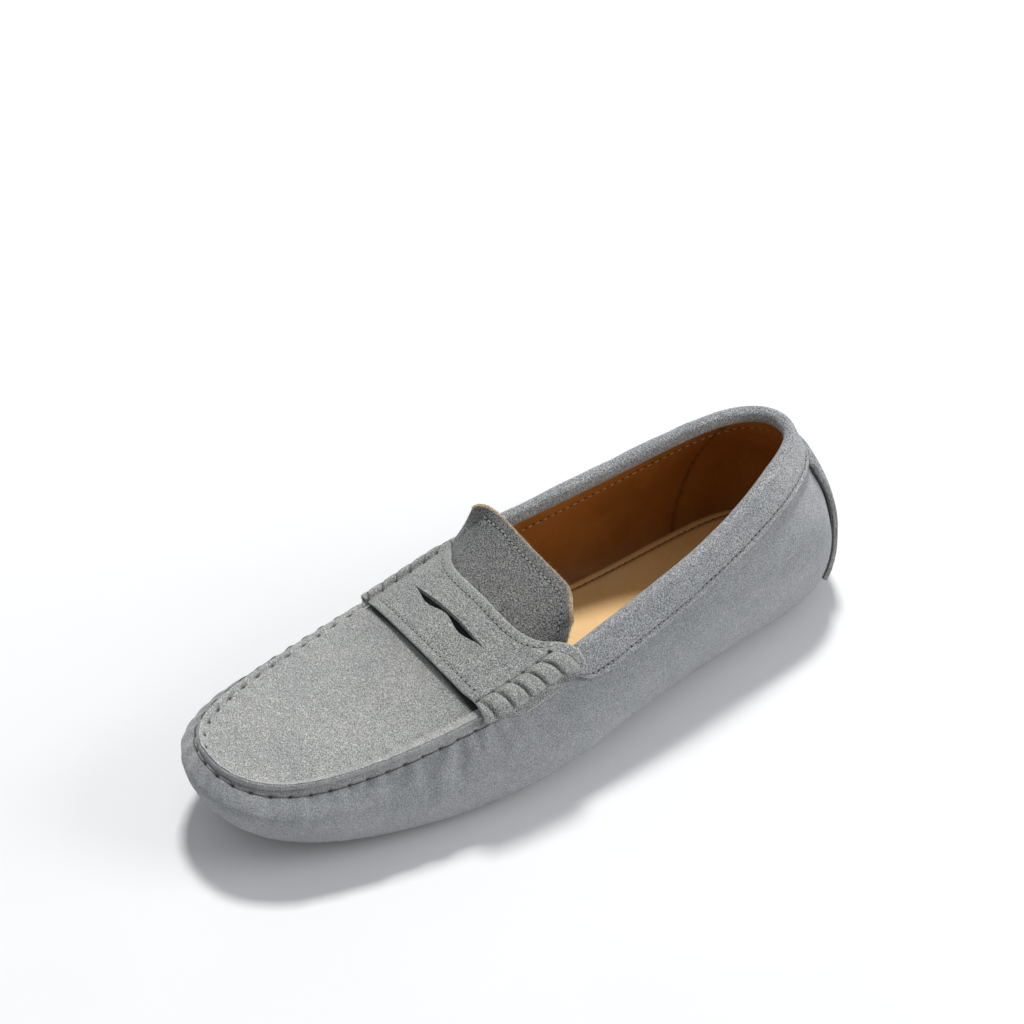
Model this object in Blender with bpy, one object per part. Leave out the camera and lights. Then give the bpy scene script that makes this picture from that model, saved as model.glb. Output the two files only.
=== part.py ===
"""Driving moccasin, the left shoe of a pair, standing empty on its sole.

The toe points along -Y, the outer side of the foot is +X and the floor is z = 0.
Every piece is read from one last: fourteen sections round the foot, each with a tread point
under the foot, a side point where the leather is widest, and a rim point at its top edge.
A place on the upper is given as turn and climb. Turn runs from 0 at the heel back over the
outer side to 7 at the toe tip, and on over the inner side to 14. Climb runs from 0 at the
tread point to 1 at the rim.
"""
import math

import bmesh
import bpy
import numpy as np

# Sizes of the last, in metres
LENGTH = 0.288
BALL_WIDTH = 0.100
INSTEP_HEIGHT = 0.049
HEEL_HEIGHT = 0.070
CROWN_HEIGHT = 0.012
TOE_SPRING = 0.008

# Leather and its seams
WALL = 0.0020
CLEARANCE = 0.0003
SEAM_HEIGHT = 0.0036
SEAM_WIDTH = 0.0044
SEAM_ROUND = 0.0008

# Strap across the instep, with its slot
STRAP_THICKNESS = 0.0020
STRAP_EAR = 0.0065
STRAP_FRONT_BOW = 0.0015
STRAP_REAR_BOW = 0.0150
SLOT_LENGTH = 0.0400
SLOT_DEPTH = 0.0040
SLOT_SETBACK = 0.0175

# Tongue flap behind the strap
TONGUE_THICKNESS = 0.0018
TONGUE_END_HALF = 0.0300
TONGUE_REACH = 0.0085
TONGUE_CORNER = 0.0050
TONGUE_RISE = 0.0185

# Binding folded over the collar
BINDING_THICKNESS = 0.0015
BINDING_DEPTH = 0.0130
BINDING_TUCK = 0.0040

# Patch that covers the seam up the heel
PATCH_THICKNESS = 0.0020
PATCH_TOP_HALF = 0.0130
PATCH_FOOT_HALF = 0.0320
PATCH_FOOT_HEIGHT = 0.0110

# Footbed and rubber sole
INSOLE_THICKNESS = 0.0030
INSOLE_MARGIN = 0.0010
OUTSOLE_THICKNESS = 0.0018
OUTSOLE_INSET = 0.0035
OUTSOLE_ROUND = 0.0120
STUD_HEIGHT = 0.0027
STUD_RADIUS = 0.0042
STUD_TAPER = 0.0008
STUD_PITCH = 0.0150

# Sections round the foot. Along and across are shares of LENGTH and BALL_WIDTH from the
# middle of the shoe. Spring is a share of TOE_SPRING. The heights of the side and the rim
# are shares of a height that mixes HEEL_HEIGHT and INSTEP_HEIGHT by the share named heel.
SECTION_COLUMNS = (
    "tread_along", "tread_across", "spring",
    "side_along", "side_across", "side_up",
    "rim_along", "rim_across", "rim_up", "heel", "fullness",
)
SECTIONS = (
    (0.456, -0.029, 0.00, 0.492, -0.029, 0.40, 0.448, -0.034, 1.01, 1.00, 0.35),
    (0.444, 0.151, 0.00, 0.464, 0.229, 0.38, 0.433, 0.051, 0.99, 1.00, 0.30),
    (0.376, 0.271, 0.00, 0.389, 0.353, 0.37, 0.360, 0.163, 0.96, 1.00, 0.30),
    (0.216, 0.319, 0.10, 0.216, 0.407, 0.44, 0.206, 0.273, 0.98, 0.50, 0.25),
    (0.025, 0.389, 0.16, 0.024, 0.486, 0.39, 0.000, 0.339, 1.00, 0.00, 0.30),
    (-0.170, 0.427, 0.00, -0.160, 0.481, 0.27, -0.151, 0.349, 0.85, 0.00, 0.30),
    (-0.382, 0.247, 0.52, -0.417, 0.291, 0.48, -0.394, 0.216, 0.72, 0.00, 0.50),
    (-0.446, -0.064, 1.00, -0.500, -0.079, 0.60, -0.476, -0.107, 0.74, 0.00, 0.60),
    (-0.378, -0.299, 0.60, -0.415, -0.417, 0.54, -0.394, -0.357, 0.73, 0.00, 0.50),
    (-0.174, -0.399, 0.00, -0.160, -0.501, 0.29, -0.162, -0.409, 0.88, 0.00, 0.30),
    (0.025, -0.294, 0.25, 0.020, -0.446, 0.43, -0.003, -0.409, 1.02, 0.00, 0.30),
    (0.216, -0.271, 0.18, 0.216, -0.409, 0.46, 0.212, -0.347, 0.96, 0.50, 0.30),
    (0.376, -0.284, 0.00, 0.389, -0.381, 0.38, 0.364, -0.249, 0.97, 1.00, 0.30),
    (0.444, -0.204, 0.00, 0.464, -0.299, 0.38, 0.436, -0.149, 1.00, 1.00, 0.30),
)

# How far the apron rises over the line between its two seams, in shares of CROWN_HEIGHT.
CROWN = (  # along, rise
    (-0.470, -0.06),
    (-0.394, 0.18),
    (-0.280, 0.36),
    (-0.158, 0.52),
    (-0.055, 0.78),
    (0.000, 0.95),
    (0.060, 1.10),
)

# Turns where pieces begin and end on the outer side; the inner side mirrors them.
SECTION_COUNT = len(SECTIONS)
TOE_TURN = SECTION_COUNT / 2
STRAP_REAR_TURN = 4.00
APRON_REAR_TURN = 4.50
STRAP_FRONT_TURN = 5.00
SPANS = (  # from, to, steps
    (0.0, 2.0, 9),
    (2.0, STRAP_REAR_TURN, 8),
    (STRAP_REAR_TURN, APRON_REAR_TURN, 4),
    (APRON_REAR_TURN, STRAP_FRONT_TURN, 4),
    (STRAP_FRONT_TURN, TOE_TURN, 17),
)
WIDEST_CLIMB = 0.42
CLIMBS = (0.0, 0.10, 0.20, 0.31, 0.42, 0.54, 0.66, 0.77, 0.88, 1.0)
APRON_STEPS = 10
STRAP_STEPS = 8
FLOOR_STEPS = 6


def section_table():
    """Turn the shares into tread, side and rim points, and the fullness of each section."""
    tread, side, rim, fullness = [], [], [], []
    lift = STUD_HEIGHT + OUTSOLE_THICKNESS + CLEARANCE
    for values in SECTIONS:
        row = dict(zip(SECTION_COLUMNS, values))
        height = row["heel"] * HEEL_HEIGHT + (1 - row["heel"]) * INSTEP_HEIGHT
        tread.append((row["tread_across"] * BALL_WIDTH, row["tread_along"] * LENGTH,
                      lift + row["spring"] * TOE_SPRING))
        side.append((row["side_across"] * BALL_WIDTH, row["side_along"] * LENGTH,
                     row["side_up"] * height))
        rim.append((row["rim_across"] * BALL_WIDTH, row["rim_along"] * LENGTH,
                    row["rim_up"] * height))
        fullness.append((row["fullness"],))
    return np.array(tread), np.array(side), np.array(rim), np.array(fullness)


TREAD, SIDE, RIM, FULLNESS = section_table()


def round_curve(knots, turns):
    """Points of the smooth closed curve through the knots, one knot at each whole turn."""
    count = len(knots)
    bend = np.zeros((count, count))
    for index in range(count):
        bend[index, index] = 4
        bend[index, index - 1] = 1
        bend[index, (index + 1) % count] = 1
    pull = np.linalg.solve(bend, 6 * (np.roll(knots, -1, 0) - 2 * knots + np.roll(knots, 1, 0)))
    turns = np.asarray(turns, float) % count
    low = np.floor(turns).astype(int) % count
    high = (low + 1) % count
    part = (turns - np.floor(turns))[..., None]
    back = 1 - part
    straight = knots[low] * back + knots[high] * part
    return straight + ((back ** 3 - back) * pull[low] + (part ** 3 - part) * pull[high]) / 6


def upper_points(turns, climb):
    """Points of the upper's outer face at one climb, for an array of turns."""
    tread, side, rim = (round_curve(knots, turns) for knots in (TREAD, SIDE, RIM))
    if climb <= WIDEST_CLIMB:
        angle = climb / WIDEST_CLIMB * math.pi / 2
        points = tread + (side - tread) * math.sin(angle)
        points[..., 2] = tread[..., 2] + (side - tread)[..., 2] * (1 - math.cos(angle))
        return points
    full = round_curve(FULLNESS, turns)
    part = (climb - WIDEST_CLIMB) / (1 - WIDEST_CLIMB)
    rise = (rim - side)[..., 2:]
    lower = side + np.concatenate((0 * rise, 0 * rise, 0.5 * rise), -1)
    spread = (side - rim)[..., :2] * full * 0.8
    upper = rim + np.concatenate((spread, -rise * 0.45 * (1 - full)), -1)
    back = 1 - part
    return (back ** 3 * side + 3 * back ** 2 * part * lower
            + 3 * back * part ** 2 * upper + part ** 3 * rim)


def unit(vectors):
    """Vectors scaled to length 1."""
    return vectors / np.linalg.norm(vectors, axis=-1, keepdims=True)


def upper_normals(turns, climb):
    """Outward normals of the upper's outer face at one climb."""
    step = 0.01
    along = upper_points(turns + step, climb) - upper_points(turns - step, climb)
    low, high = max(climb - step, 0.0), min(climb + step, 1.0)
    up = upper_points(turns, high) - upper_points(turns, low)
    return unit(np.cross(up, along))


def level_inward(turns):
    """Level directions from the rim towards the inside of the shoe."""
    step = 0.02
    along = round_curve(RIM, turns + step) - round_curve(RIM, turns - step)
    return unit(np.stack((along[..., 1], -along[..., 0], 0 * along[..., 0]), -1))


def band_points(turns, depth, lift):
    """Points a given depth below the rim along the outer face, lifted off it."""
    climbs = np.linspace(1.0, WIDEST_CLIMB, 25)
    grid = np.stack([upper_points(turns, climb) for climb in climbs], 1)
    steps = np.linalg.norm(np.diff(grid, axis=1), axis=2)
    run = np.concatenate((np.zeros((len(turns), 1)), np.cumsum(steps, 1)), 1)
    found = []
    for index, turn in enumerate(turns):
        climb = float(np.interp(depth, run[index], climbs))
        one = np.array([turn])
        found.append(upper_points(one, climb)[0] + upper_normals(one, climb)[0] * lift)
    return np.array(found)


def crown_rise(along):
    """Rise of the apron's middle over the line between its seams."""
    table = np.array(CROWN) * (LENGTH, CROWN_HEIGHT)
    slopes = np.gradient(table[:, 1], table[:, 0])
    along = np.clip(along, table[0, 0], table[-1, 0])
    low = np.clip(np.searchsorted(table[:, 0], along) - 1, 0, len(table) - 2)
    width = table[low + 1, 0] - table[low, 0]
    part = (along - table[low, 0]) / width
    back = 1 - part
    return (table[low, 1] * (1 + 2 * part) * back ** 2 + slopes[low] * width * part * back ** 2
            + table[low + 1, 1] * (3 - 2 * part) * part ** 2
            - slopes[low + 1] * width * back * part ** 2)


def apron_points(turn, across, margin):
    """Points of the apron's face on the line between a turn and its mirrored turn.

    Across runs from -1 at the inner side's seam to 1 at the outer side's seam, and both ends
    lie a margin in from the rim, measured along the face.
    """
    pair = np.array([turn, SECTION_COUNT - turn])
    rim = round_curve(RIM, pair)
    half = np.linalg.norm(rim[0] - rim[1]) / 2
    rise = crown_rise(rim[:, 1].mean())
    inset = margin / math.hypot(1.0, 2 * rise / max(half, SEAM_WIDTH * 2))
    ends = rim + level_inward(pair) * inset
    middle = (ends[0] + ends[1]) / 2
    across = np.asarray(across, float)
    points = middle + (ends[0] - middle) * across[:, None]
    share = across * max(half - inset, 0.0) / max(half, inset)
    points[:, 2] += rise * (1 - share ** 2)
    return points


def apron_normals(turn, across, margin):
    """Upward normals of the apron's face along one line across it."""
    step = 0.02
    ahead = apron_points(min(turn + step, TOE_TURN), across, margin)
    behind = apron_points(min(turn + step, TOE_TURN) - 2 * step, across, margin)
    wide = apron_points(turn, np.asarray(across) + step, margin)
    narrow = apron_points(turn, np.asarray(across) - step, margin)
    normals = np.cross(wide - narrow, behind - ahead)
    flat = np.linalg.norm(normals, axis=1) < 1e-12
    normals[flat] = (0, 0, 1)
    return unit(normals)


def seam_frame(turn):
    """Foot of the seam on the apron, its way in from the rim, and the way it stands up.

    The first row is the inner side's and the second row the outer side's.
    """
    pair = np.array([SECTION_COUNT - turn, turn])
    rim = round_curve(RIM, pair)
    foot = apron_points(turn, (-1, 1), SEAM_WIDTH)
    leaning = upper_normals(pair, 1.0) + apron_normals(turn, (-1, 1), SEAM_WIDTH)
    stand = unit(leaning + np.array((0.0, 0.0, 1.0)))
    return rim, foot, unit(foot - rim), stand


def half_turns():
    """Turns of the outer side's stations, from the heel back to the toe tip."""
    turns = [0.0]
    for start, end, steps in SPANS:
        turns += [start + (end - start) * step / steps for step in range(1, steps + 1)]
    return turns


HALF_TURNS = half_turns()
TOE = len(HALF_TURNS) - 1
RING = 2 * TOE
RING_TURNS = np.array(HALF_TURNS + [SECTION_COUNT - turn for turn in HALF_TURNS[-2:0:-1]])


def station(turn):
    """Index of the station at a named turn."""
    return int(np.argmin(np.abs(np.array(HALF_TURNS) - turn)))


def mirrored(index):
    """Index of the station across the shoe from this one."""
    return (RING - index) % RING


class Skin:
    """A closed skin that is gathered row by row."""

    def __init__(self):
        self.points = []
        self.faces = []

    def row(self, points):
        """Add a row of points and return their indices."""
        start = len(self.points)
        self.points += [tuple(float(value) for value in point) for point in points]
        return list(range(start, len(self.points)))

    def face(self, corners):
        """Add a face, leaving out corners that repeat."""
        kept = []
        for corner in corners:
            if corner not in kept:
                kept.append(corner)
        if len(kept) > 2:
            self.faces.append(kept)

    def bridge(self, first, second, closed=False):
        """Join two rows of equal length with a strip of faces."""
        count = len(first)
        for index in range(count if closed else count - 1):
            after = (index + 1) % count
            self.face((first[index], first[after], second[after], second[index]))

    def bridges(self, rows, closed=False):
        """Join each row with the one after it."""
        for first, second in zip(rows, rows[1:]):
            self.bridge(first, second, closed)

    def object(self, name, material, sharp=40):
        """Make the object, with its faces pointing out."""
        mesh = bpy.data.meshes.new(name)
        mesh.from_pydata(self.points, [], self.faces)
        work = bmesh.new()
        work.from_mesh(mesh)
        bmesh.ops.remove_doubles(work, verts=work.verts, dist=1e-6)
        bmesh.ops.dissolve_degenerate(work, edges=work.edges, dist=1e-6)
        bmesh.ops.recalc_face_normals(work, faces=work.faces)
        work.to_mesh(mesh)
        work.free()
        mesh.materials.append(material)
        mesh.shade_smooth()
        mesh.set_sharp_from_angle(angle=math.radians(sharp))
        part = bpy.data.objects.new(name, mesh)
        bpy.context.collection.objects.link(part)
        return part


def leather(name, colour, roughness):
    """A plain material in the piece's colour."""
    material = bpy.data.materials.new(name)
    material.use_nodes = True
    shader = material.node_tree.nodes["Principled BSDF"]
    shader.inputs["Base Color"].default_value = (*colour, 1)
    shader.inputs["Roughness"].default_value = roughness
    shader.inputs["Metallic"].default_value = 0
    return material


def ring_rows(skin, inside):
    """Rows round the whole shoe from the tread to the rim, on the outer or the inner face."""
    rows = []
    for climb in CLIMBS:
        points = upper_points(RING_TURNS, climb)
        if inside:
            points = points - upper_normals(RING_TURNS, climb) * WALL
        rows.append(skin.row(points))
    skin.bridges(rows, closed=True)
    return rows


def lay_floor(skin, tread_row):
    """Close a tread row under the foot with straight lines from side to side."""
    lines = []
    for index in range(TOE + 1):
        near, far = tread_row[index], tread_row[mirrored(index)]
        if near == far:
            lines.append([near] * (FLOOR_STEPS + 1))
            continue
        start, end = np.array(skin.points[far]), np.array(skin.points[near])
        shares = np.linspace(0, 1, FLOOR_STEPS + 1)[1:-1, None]
        lines.append([far] + skin.row(start + (end - start) * shares) + [near])
    skin.bridges(lines)


def lay_apron(skin, row, drop):
    """Close a row over the forefoot with crowned lines, dropped below the apron's face."""
    lines = []
    for index in range(station(APRON_REAR_TURN), TOE + 1):
        near, far = row[index], row[mirrored(index)]
        if near == far:
            lines.append([near] * (APRON_STEPS + 1))
            continue
        turn = HALF_TURNS[index]
        across = np.linspace(-1, 1, APRON_STEPS + 1)[1:-1]
        points = apron_points(turn, across, SEAM_WIDTH)
        if drop:
            points = points - apron_normals(turn, across, SEAM_WIDTH) * drop
        lines.append([far] + skin.row(points) + [near])
    skin.bridges(lines)
    return lines[0]


def make_upper():
    """Tub and apron in one hollow wall, with the raised hand seam as a step in it.

    Behind the apron the wall ends in the free edge of the collar, where the foot goes in.
    """
    skin = Skin()
    outer = ring_rows(skin, inside=False)
    inner = ring_rows(skin, inside=True)
    lay_floor(skin, outer[0])
    lay_floor(skin, inner[0])

    first, last = station(APRON_REAR_TURN), mirrored(station(APRON_REAR_TURN))
    up = np.array((0.0, 0.0, 1.0))
    rim = round_curve(RIM, RING_TURNS)
    edge = rim + level_inward(RING_TURNS) * WALL * 0.5 + up * SEAM_ROUND * 0.6
    inner_rim = np.array([skin.points[index] for index in inner[-1]])
    shoulder_out, crest, shoulder_in = rim + up * SEAM_ROUND * 0.3, edge, inner_rim + 0
    shoulder_in = shoulder_in + up * SEAM_ROUND * 0.3
    foot = {}
    for index in range(first, TOE + 1):
        rims, feet, into, stand = seam_frame(HALF_TURNS[index])
        low = stand * (SEAM_HEIGHT - SEAM_ROUND)
        for side, place in ((0, mirrored(index)), (1, index)):
            shoulder_out[place] = rims[side] + low[side] + into[side] * SEAM_ROUND * 0.3
            crest[place] = (rims[side] + feet[side]) / 2 + stand[side] * SEAM_HEIGHT
            shoulder_in[place] = feet[side] + low[side] - into[side] * SEAM_ROUND * 0.3
            if place not in foot:
                foot[place], = skin.row(feet[side:side + 1])
    out_row, crest_row, in_row = (skin.row(row) for row in (shoulder_out, crest, shoulder_in))
    skin.bridges([outer[-1], out_row, crest_row, in_row], closed=True)

    collar = [index % RING for index in range(last, RING + first + 1)]
    skin.bridge([in_row[index] for index in collar], [inner[-1][index] for index in collar])
    seam_foot = [foot.get(index, -1) for index in range(RING)]
    forefoot = range(first, last + 1)
    skin.bridge([in_row[index] for index in forefoot], [seam_foot[index] for index in forefoot])
    rear_outer = lay_apron(skin, seam_foot, 0.0)
    rear_inner = lay_apron(skin, inner[-1], WALL)
    skin.bridge(rear_outer, rear_inner)
    for index in (first, last):
        skin.face((in_row[index], seam_foot[index], inner[-1][index]))
    return skin.object("upper", leather("grey_suede", (0.36, 0.38, 0.38), 0.95))


def strap_turn(share, across):
    """Turn of a place on the strap, from 0 at its rear edge to 1 at its front edge.

    Both edges bow towards the toe, so that the strap is narrower in its middle.
    """
    rims = round_curve(RIM, np.array([STRAP_REAR_TURN, STRAP_FRONT_TURN]))
    per_turn = (rims[0, 1] - rims[1, 1]) / (STRAP_FRONT_TURN - STRAP_REAR_TURN)
    rear = STRAP_REAR_TURN + STRAP_REAR_BOW / per_turn * (1 - across ** 4)
    front = STRAP_FRONT_TURN + STRAP_FRONT_BOW / per_turn * (1 - across ** 2)
    return rear + (front - rear) * share


def strap_path(share):
    """Underside and top of the strap from ear to ear, at a share of its width."""
    turn = strap_turn(share, 1.0)
    pair = np.array([SECTION_COUNT - turn, turn])
    rims, feet, into, stand = seam_frame(turn)
    gap = CLEARANCE * 1.5
    sides = []
    for side in (0, 1):
        rim, foot, way_in, way_up = rims[side], feet[side], into[side], stand[side]
        run = []
        for depth in (STRAP_EAR, STRAP_EAR * 0.6, STRAP_EAR * 0.25):
            low = band_points(pair[side:side + 1], depth, gap)[0]
            flush = band_points(pair[side:side + 1], depth, 0.0)[0]
            run.append((low, unit(low - flush)))
        run.append((rim - way_in * gap * 2 + way_up * SEAM_HEIGHT * 0.4, -way_in))
        run.append((rim - way_in * gap + way_up * (SEAM_HEIGHT - SEAM_ROUND * 0.4),
                    unit(way_up - way_in)))
        run.append(((rim + foot) / 2 + way_up * (SEAM_HEIGHT + gap * 1.5), way_up))
        run.append((foot + way_up * (SEAM_HEIGHT - SEAM_ROUND * 0.4 + gap),
                    unit(way_up + way_in * 0.5)))
        sides.append(run)
    across = np.linspace(-1, 1, APRON_STEPS + 1)[1:-1]
    normals = np.array([apron_normals(strap_turn(share, a), (a,), SEAM_WIDTH)[0] for a in across])
    middle = np.array([apron_points(strap_turn(share, a), (a,), SEAM_WIDTH)[0] for a in across])
    middle = middle + normals * gap
    path = sides[0] + list(zip(middle, normals)) + sides[1][::-1]
    points = np.array([point for point, way in path])
    ways = np.array([way for point, way in path])
    return points, points + ways * STRAP_THICKNESS


def make_strap():
    """Strap over the instep, wrapped over both seams, with a slot cut through it."""
    skin = Skin()
    under, over = [], []
    for share in np.linspace(0.0, 1.0, STRAP_STEPS + 1):
        low, high = strap_path(share)
        under.append(skin.row(low))
        over.append(skin.row(high))
    skin.bridges(under)
    skin.bridges(over)
    edge = [rows[0] for rows in under] + under[-1][1:] + [rows[-1] for rows in under[-2::-1]]
    edge += under[0][-2:0:-1]
    lip = [rows[0] for rows in over] + over[-1][1:] + [rows[-1] for rows in over[-2::-1]]
    lip += over[0][-2:0:-1]
    skin.bridge(edge, lip, closed=True)
    strap = skin.object("penny_strap", leather("strap_suede", (0.40, 0.42, 0.42), 0.95))
    cut_slot(strap)
    return strap


def slot_outline():
    """Outline of the slot: a straight rear edge and two waves along the front edge."""
    front = apron_points(strap_turn(1.0, 0.0), (-0.5, 0.5), SEAM_WIDTH)
    middle, way = (front[0] + front[1]) / 2, unit(front[1] - front[0])
    ahead = np.array((way[1], -way[0], 0.0))
    middle = middle - ahead * SLOT_SETBACK
    steps = 16
    outline = [middle - way * SLOT_LENGTH / 2]
    for step in range(1, steps):
        share = step / steps
        wave = math.sin(math.pi * share) ** 0.5 * (0.72 - 0.28 * math.cos(4 * math.pi * share))
        outline.append(middle + way * SLOT_LENGTH * (share - 0.5) + ahead * SLOT_DEPTH * wave)
    outline.append(middle + way * SLOT_LENGTH / 2)
    return outline


def cut_slot(strap):
    """Cut the slot straight down through the strap."""
    skin = Skin()
    outline = slot_outline()
    low, high = (skin.row([(x, y, height) for x, y, z in outline])
                 for height in (INSTEP_HEIGHT * 0.6, INSTEP_HEIGHT + CROWN_HEIGHT * 2))
    skin.bridge(low, high, closed=True)
    skin.face(low)
    skin.face(high)
    cutter = skin.object("slot_cutter", strap.data.materials[0])
    cutter.hide_render = True
    cutter.display_type = "WIRE"
    cut = strap.modifiers.new("slot", "BOOLEAN")
    cut.operation = "DIFFERENCE"
    cut.object = cutter


def make_tongue():
    """Flap behind the strap, which carries on the apron's line and stands up at its end."""
    across = np.linspace(-1, 1, APRON_STEPS + 1)
    margin = SEAM_WIDTH + CLEARANCE * 3
    front = apron_points(APRON_REAR_TURN, across, margin)
    front[:, 1] += CLEARANCE * 2
    rear = np.array([apron_points(strap_turn(0.0, a), (a,), margin)[0] for a in across])
    rims = round_curve(RIM, np.array([STRAP_REAR_TURN, SECTION_COUNT - STRAP_REAR_TURN]))
    middle = rims.mean(0)
    end = middle + np.outer(across, (TONGUE_END_HALF, 0.0, 0.0))
    end[:, 1] += TONGUE_REACH - TONGUE_CORNER * across ** 6
    end[:, 2] += TONGUE_RISE
    lines = [front, (front + rear) / 2, rear]
    lines += [rear + (end - rear) * share for share in (0.2, 0.4, 0.6, 0.8, 1.0)]
    grid = np.array(lines)
    along = np.gradient(grid, axis=0)
    wide = np.gradient(grid, axis=1)
    normals = unit(np.cross(wide, along))
    skin = Skin()
    over = [skin.row(line) for line in grid]
    under = [skin.row(line) for line in grid - normals * TONGUE_THICKNESS]
    skin.bridges(over)
    skin.bridges(under)
    skin.bridge(over[0], under[0])
    skin.bridge(over[-1], under[-1])
    for end in (0, -1):
        skin.bridge([row[end] for row in over], [row[end] for row in under])
    return skin.object("tongue", leather("tongue_suede", (0.30, 0.31, 0.31), 0.95))


def make_binding():
    """Binding folded over the collar's free edge, deep outside and short inside."""
    first, last = station(STRAP_REAR_TURN), mirrored(station(STRAP_REAR_TURN))
    stations = [index % RING for index in range(last, RING + first + 1)]
    turns = RING_TURNS[stations]
    ease = 0.012
    turns[0] += ease
    turns[-1] -= ease
    rim = round_curve(RIM, turns)
    inward = level_inward(turns)
    up = np.array((0.0, 0.0, 1.0))
    normal = upper_normals(turns, 1.0)
    inner_rim = rim - normal * WALL
    slope = unit(upper_points(turns, 0.88) - rim)
    gap = CLEARANCE * 1.3
    top = SEAM_ROUND + gap * 2
    thick = BINDING_THICKNESS
    deep = BINDING_DEPTH
    profile = (
        band_points(turns, deep, gap), band_points(turns, deep * 0.5, gap),
        band_points(turns, deep * 0.15, gap),
        rim - inward * gap + up * top * 0.6, rim + inward * WALL * 0.6 + up * top,
        inner_rim + inward * gap * 1.4 + up * top * 0.5,
        inner_rim - normal * gap + slope * BINDING_TUCK,
        inner_rim - normal * (gap + thick) + slope * BINDING_TUCK,
        inner_rim + inward * (gap + thick) + up * (top * 0.5 + thick * 0.3),
        rim + inward * WALL * 0.6 + up * (top + thick),
        rim - inward * (gap + thick * 0.8) + up * (top * 0.6 + thick * 0.6),
        band_points(turns, deep * 0.15, gap + thick),
        band_points(turns, deep * 0.5, gap + thick), band_points(turns, deep, gap + thick),
    )
    skin = Skin()
    rows = [skin.row(points) for points in profile]
    skin.bridges(rows + [rows[0]])
    half = len(rows) // 2
    for end in (0, -1):
        rim_of_end = [row[end] for row in rows]
        skin.bridge(rim_of_end[:half], rim_of_end[:half - 1:-1])
    return skin.object("collar_binding", leather("binding_suede", (0.38, 0.40, 0.41), 0.95))


def make_heel_patch():
    """Patch over the heel seam, narrow under the binding and wide at its foot."""
    steps_across, steps_up = 14, 8
    gap = CLEARANCE * 2
    one = np.array([0.0])
    climbs = np.linspace(0.0, 1.0, 201)
    heights = np.array([upper_points(one, climb)[0, 2] for climb in climbs])
    foot_climb = float(np.interp(PATCH_FOOT_HEIGHT, heights, climbs))
    top_height = band_points(one, BINDING_DEPTH + CLEARANCE * 2, 0.0)[0, 2]
    top_climb = float(np.interp(top_height, heights, climbs))
    skin = Skin()
    under, over = [], []
    for level in np.linspace(0.0, 1.0, steps_up + 1):
        climb = foot_climb + (top_climb - foot_climb) * level
        half = PATCH_FOOT_HALF + (PATCH_TOP_HALF - PATCH_FOOT_HALF) * level
        fine = np.linspace(-2.5, 2.5, 201)
        run = upper_points(fine, climb)
        length = np.concatenate(((0.0,), np.cumsum(np.linalg.norm(np.diff(run, axis=0), axis=1))))
        length = length - np.interp(0.0, fine, length)
        turns = np.interp(np.linspace(-half, half, steps_across + 1), length, fine)
        face, normals = upper_points(turns, climb), upper_normals(turns, climb)
        under.append(skin.row(face + normals * gap))
        over.append(skin.row(face + normals * (gap + PATCH_THICKNESS)))
    skin.bridges(under)
    skin.bridges(over)
    skin.bridge(under[0], over[0])
    skin.bridge(under[-1], over[-1])
    for end in (0, -1):
        skin.bridge([row[end] for row in under], [row[end] for row in over])
    return skin.object("heel_patch", leather("patch_suede", (0.36, 0.38, 0.39), 0.95))


def tread_lines(inset, columns, turns, rounding=0.0):
    """Level lines across the foot between the tread points, shortened by an inset.

    Rounding takes the corners off the first and the last line.
    """
    ends = [round_curve(TREAD, np.array([SECTION_COUNT - turn, turn])) for turn in turns]
    along = [pair[:, 1].mean() for pair in ends]
    lines = []
    for pair, place in zip(ends, along):
        short = inset
        from_end = min(along[0] - place, place - along[-1])
        if from_end < rounding:
            short += rounding * (1 - math.sqrt(1 - (1 - from_end / rounding) ** 2))
        across = pair[1] - pair[0]
        into = unit(across) * min(short, 0.4 * np.linalg.norm(across))
        start, end = pair[0] + into, pair[1] - into
        lines.append(start + (end - start) * np.linspace(0, 1, columns)[:, None])
    return np.array(lines)


def slab(skin, top, bottom):
    """Close a grid of top points over a grid of bottom points."""
    over = [skin.row(line) for line in top]
    under = [skin.row(line) for line in bottom]
    skin.bridges(over)
    skin.bridges(under)
    for end in (0, -1):
        skin.bridge(over[end], under[end])
        skin.bridge([row[end] for row in over], [row[end] for row in under])


def make_insole():
    """Footbed that lies on the inner floor and reaches the wall on all sides."""
    turns = HALF_TURNS[1:-1]
    lift = WALL + CLEARANCE
    bottom = tread_lines(INSOLE_MARGIN, FLOOR_STEPS + 1, turns)
    bottom[..., 2] += lift
    top = tread_lines(-INSOLE_MARGIN, FLOOR_STEPS + 1, turns)
    top[..., 2] += lift + INSOLE_THICKNESS
    skin = Skin()
    slab(skin, top, bottom)
    return skin.object("insole", leather("footbed_leather", (0.62, 0.38, 0.17), 0.55))


def sole_rows():
    """Turns whose lines lie one half pitch apart along the foot."""
    fine = np.linspace(0.45, TOE_TURN - 0.35, 400)
    middle = np.array([tread_lines(0, 2, [turn])[0].mean(0)[1] for turn in fine])
    count = 2 * int((middle[0] - middle[-1]) / STUD_PITCH)
    return np.interp(np.linspace(middle[0], middle[-1], count + 1), middle[::-1], fine[::-1])


def stud(skin, cell, centre):
    """Grow a tapered eight-sided stud from the eight points round a cell of the plate."""
    base, foot = [], []
    for index in cell:
        away = np.array(skin.points[index]) - centre
        away[2] = 0
        away = unit(away)
        base.append(centre + away * STUD_RADIUS)
        low = centre + away * (STUD_RADIUS - STUD_TAPER)
        foot.append((low[0], low[1], 0.0))
    base_row, foot_row = skin.row(base), skin.row(foot)
    skin.bridge(cell, base_row, closed=True)
    skin.bridge(base_row, foot_row, closed=True)
    skin.face(foot_row)


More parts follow.
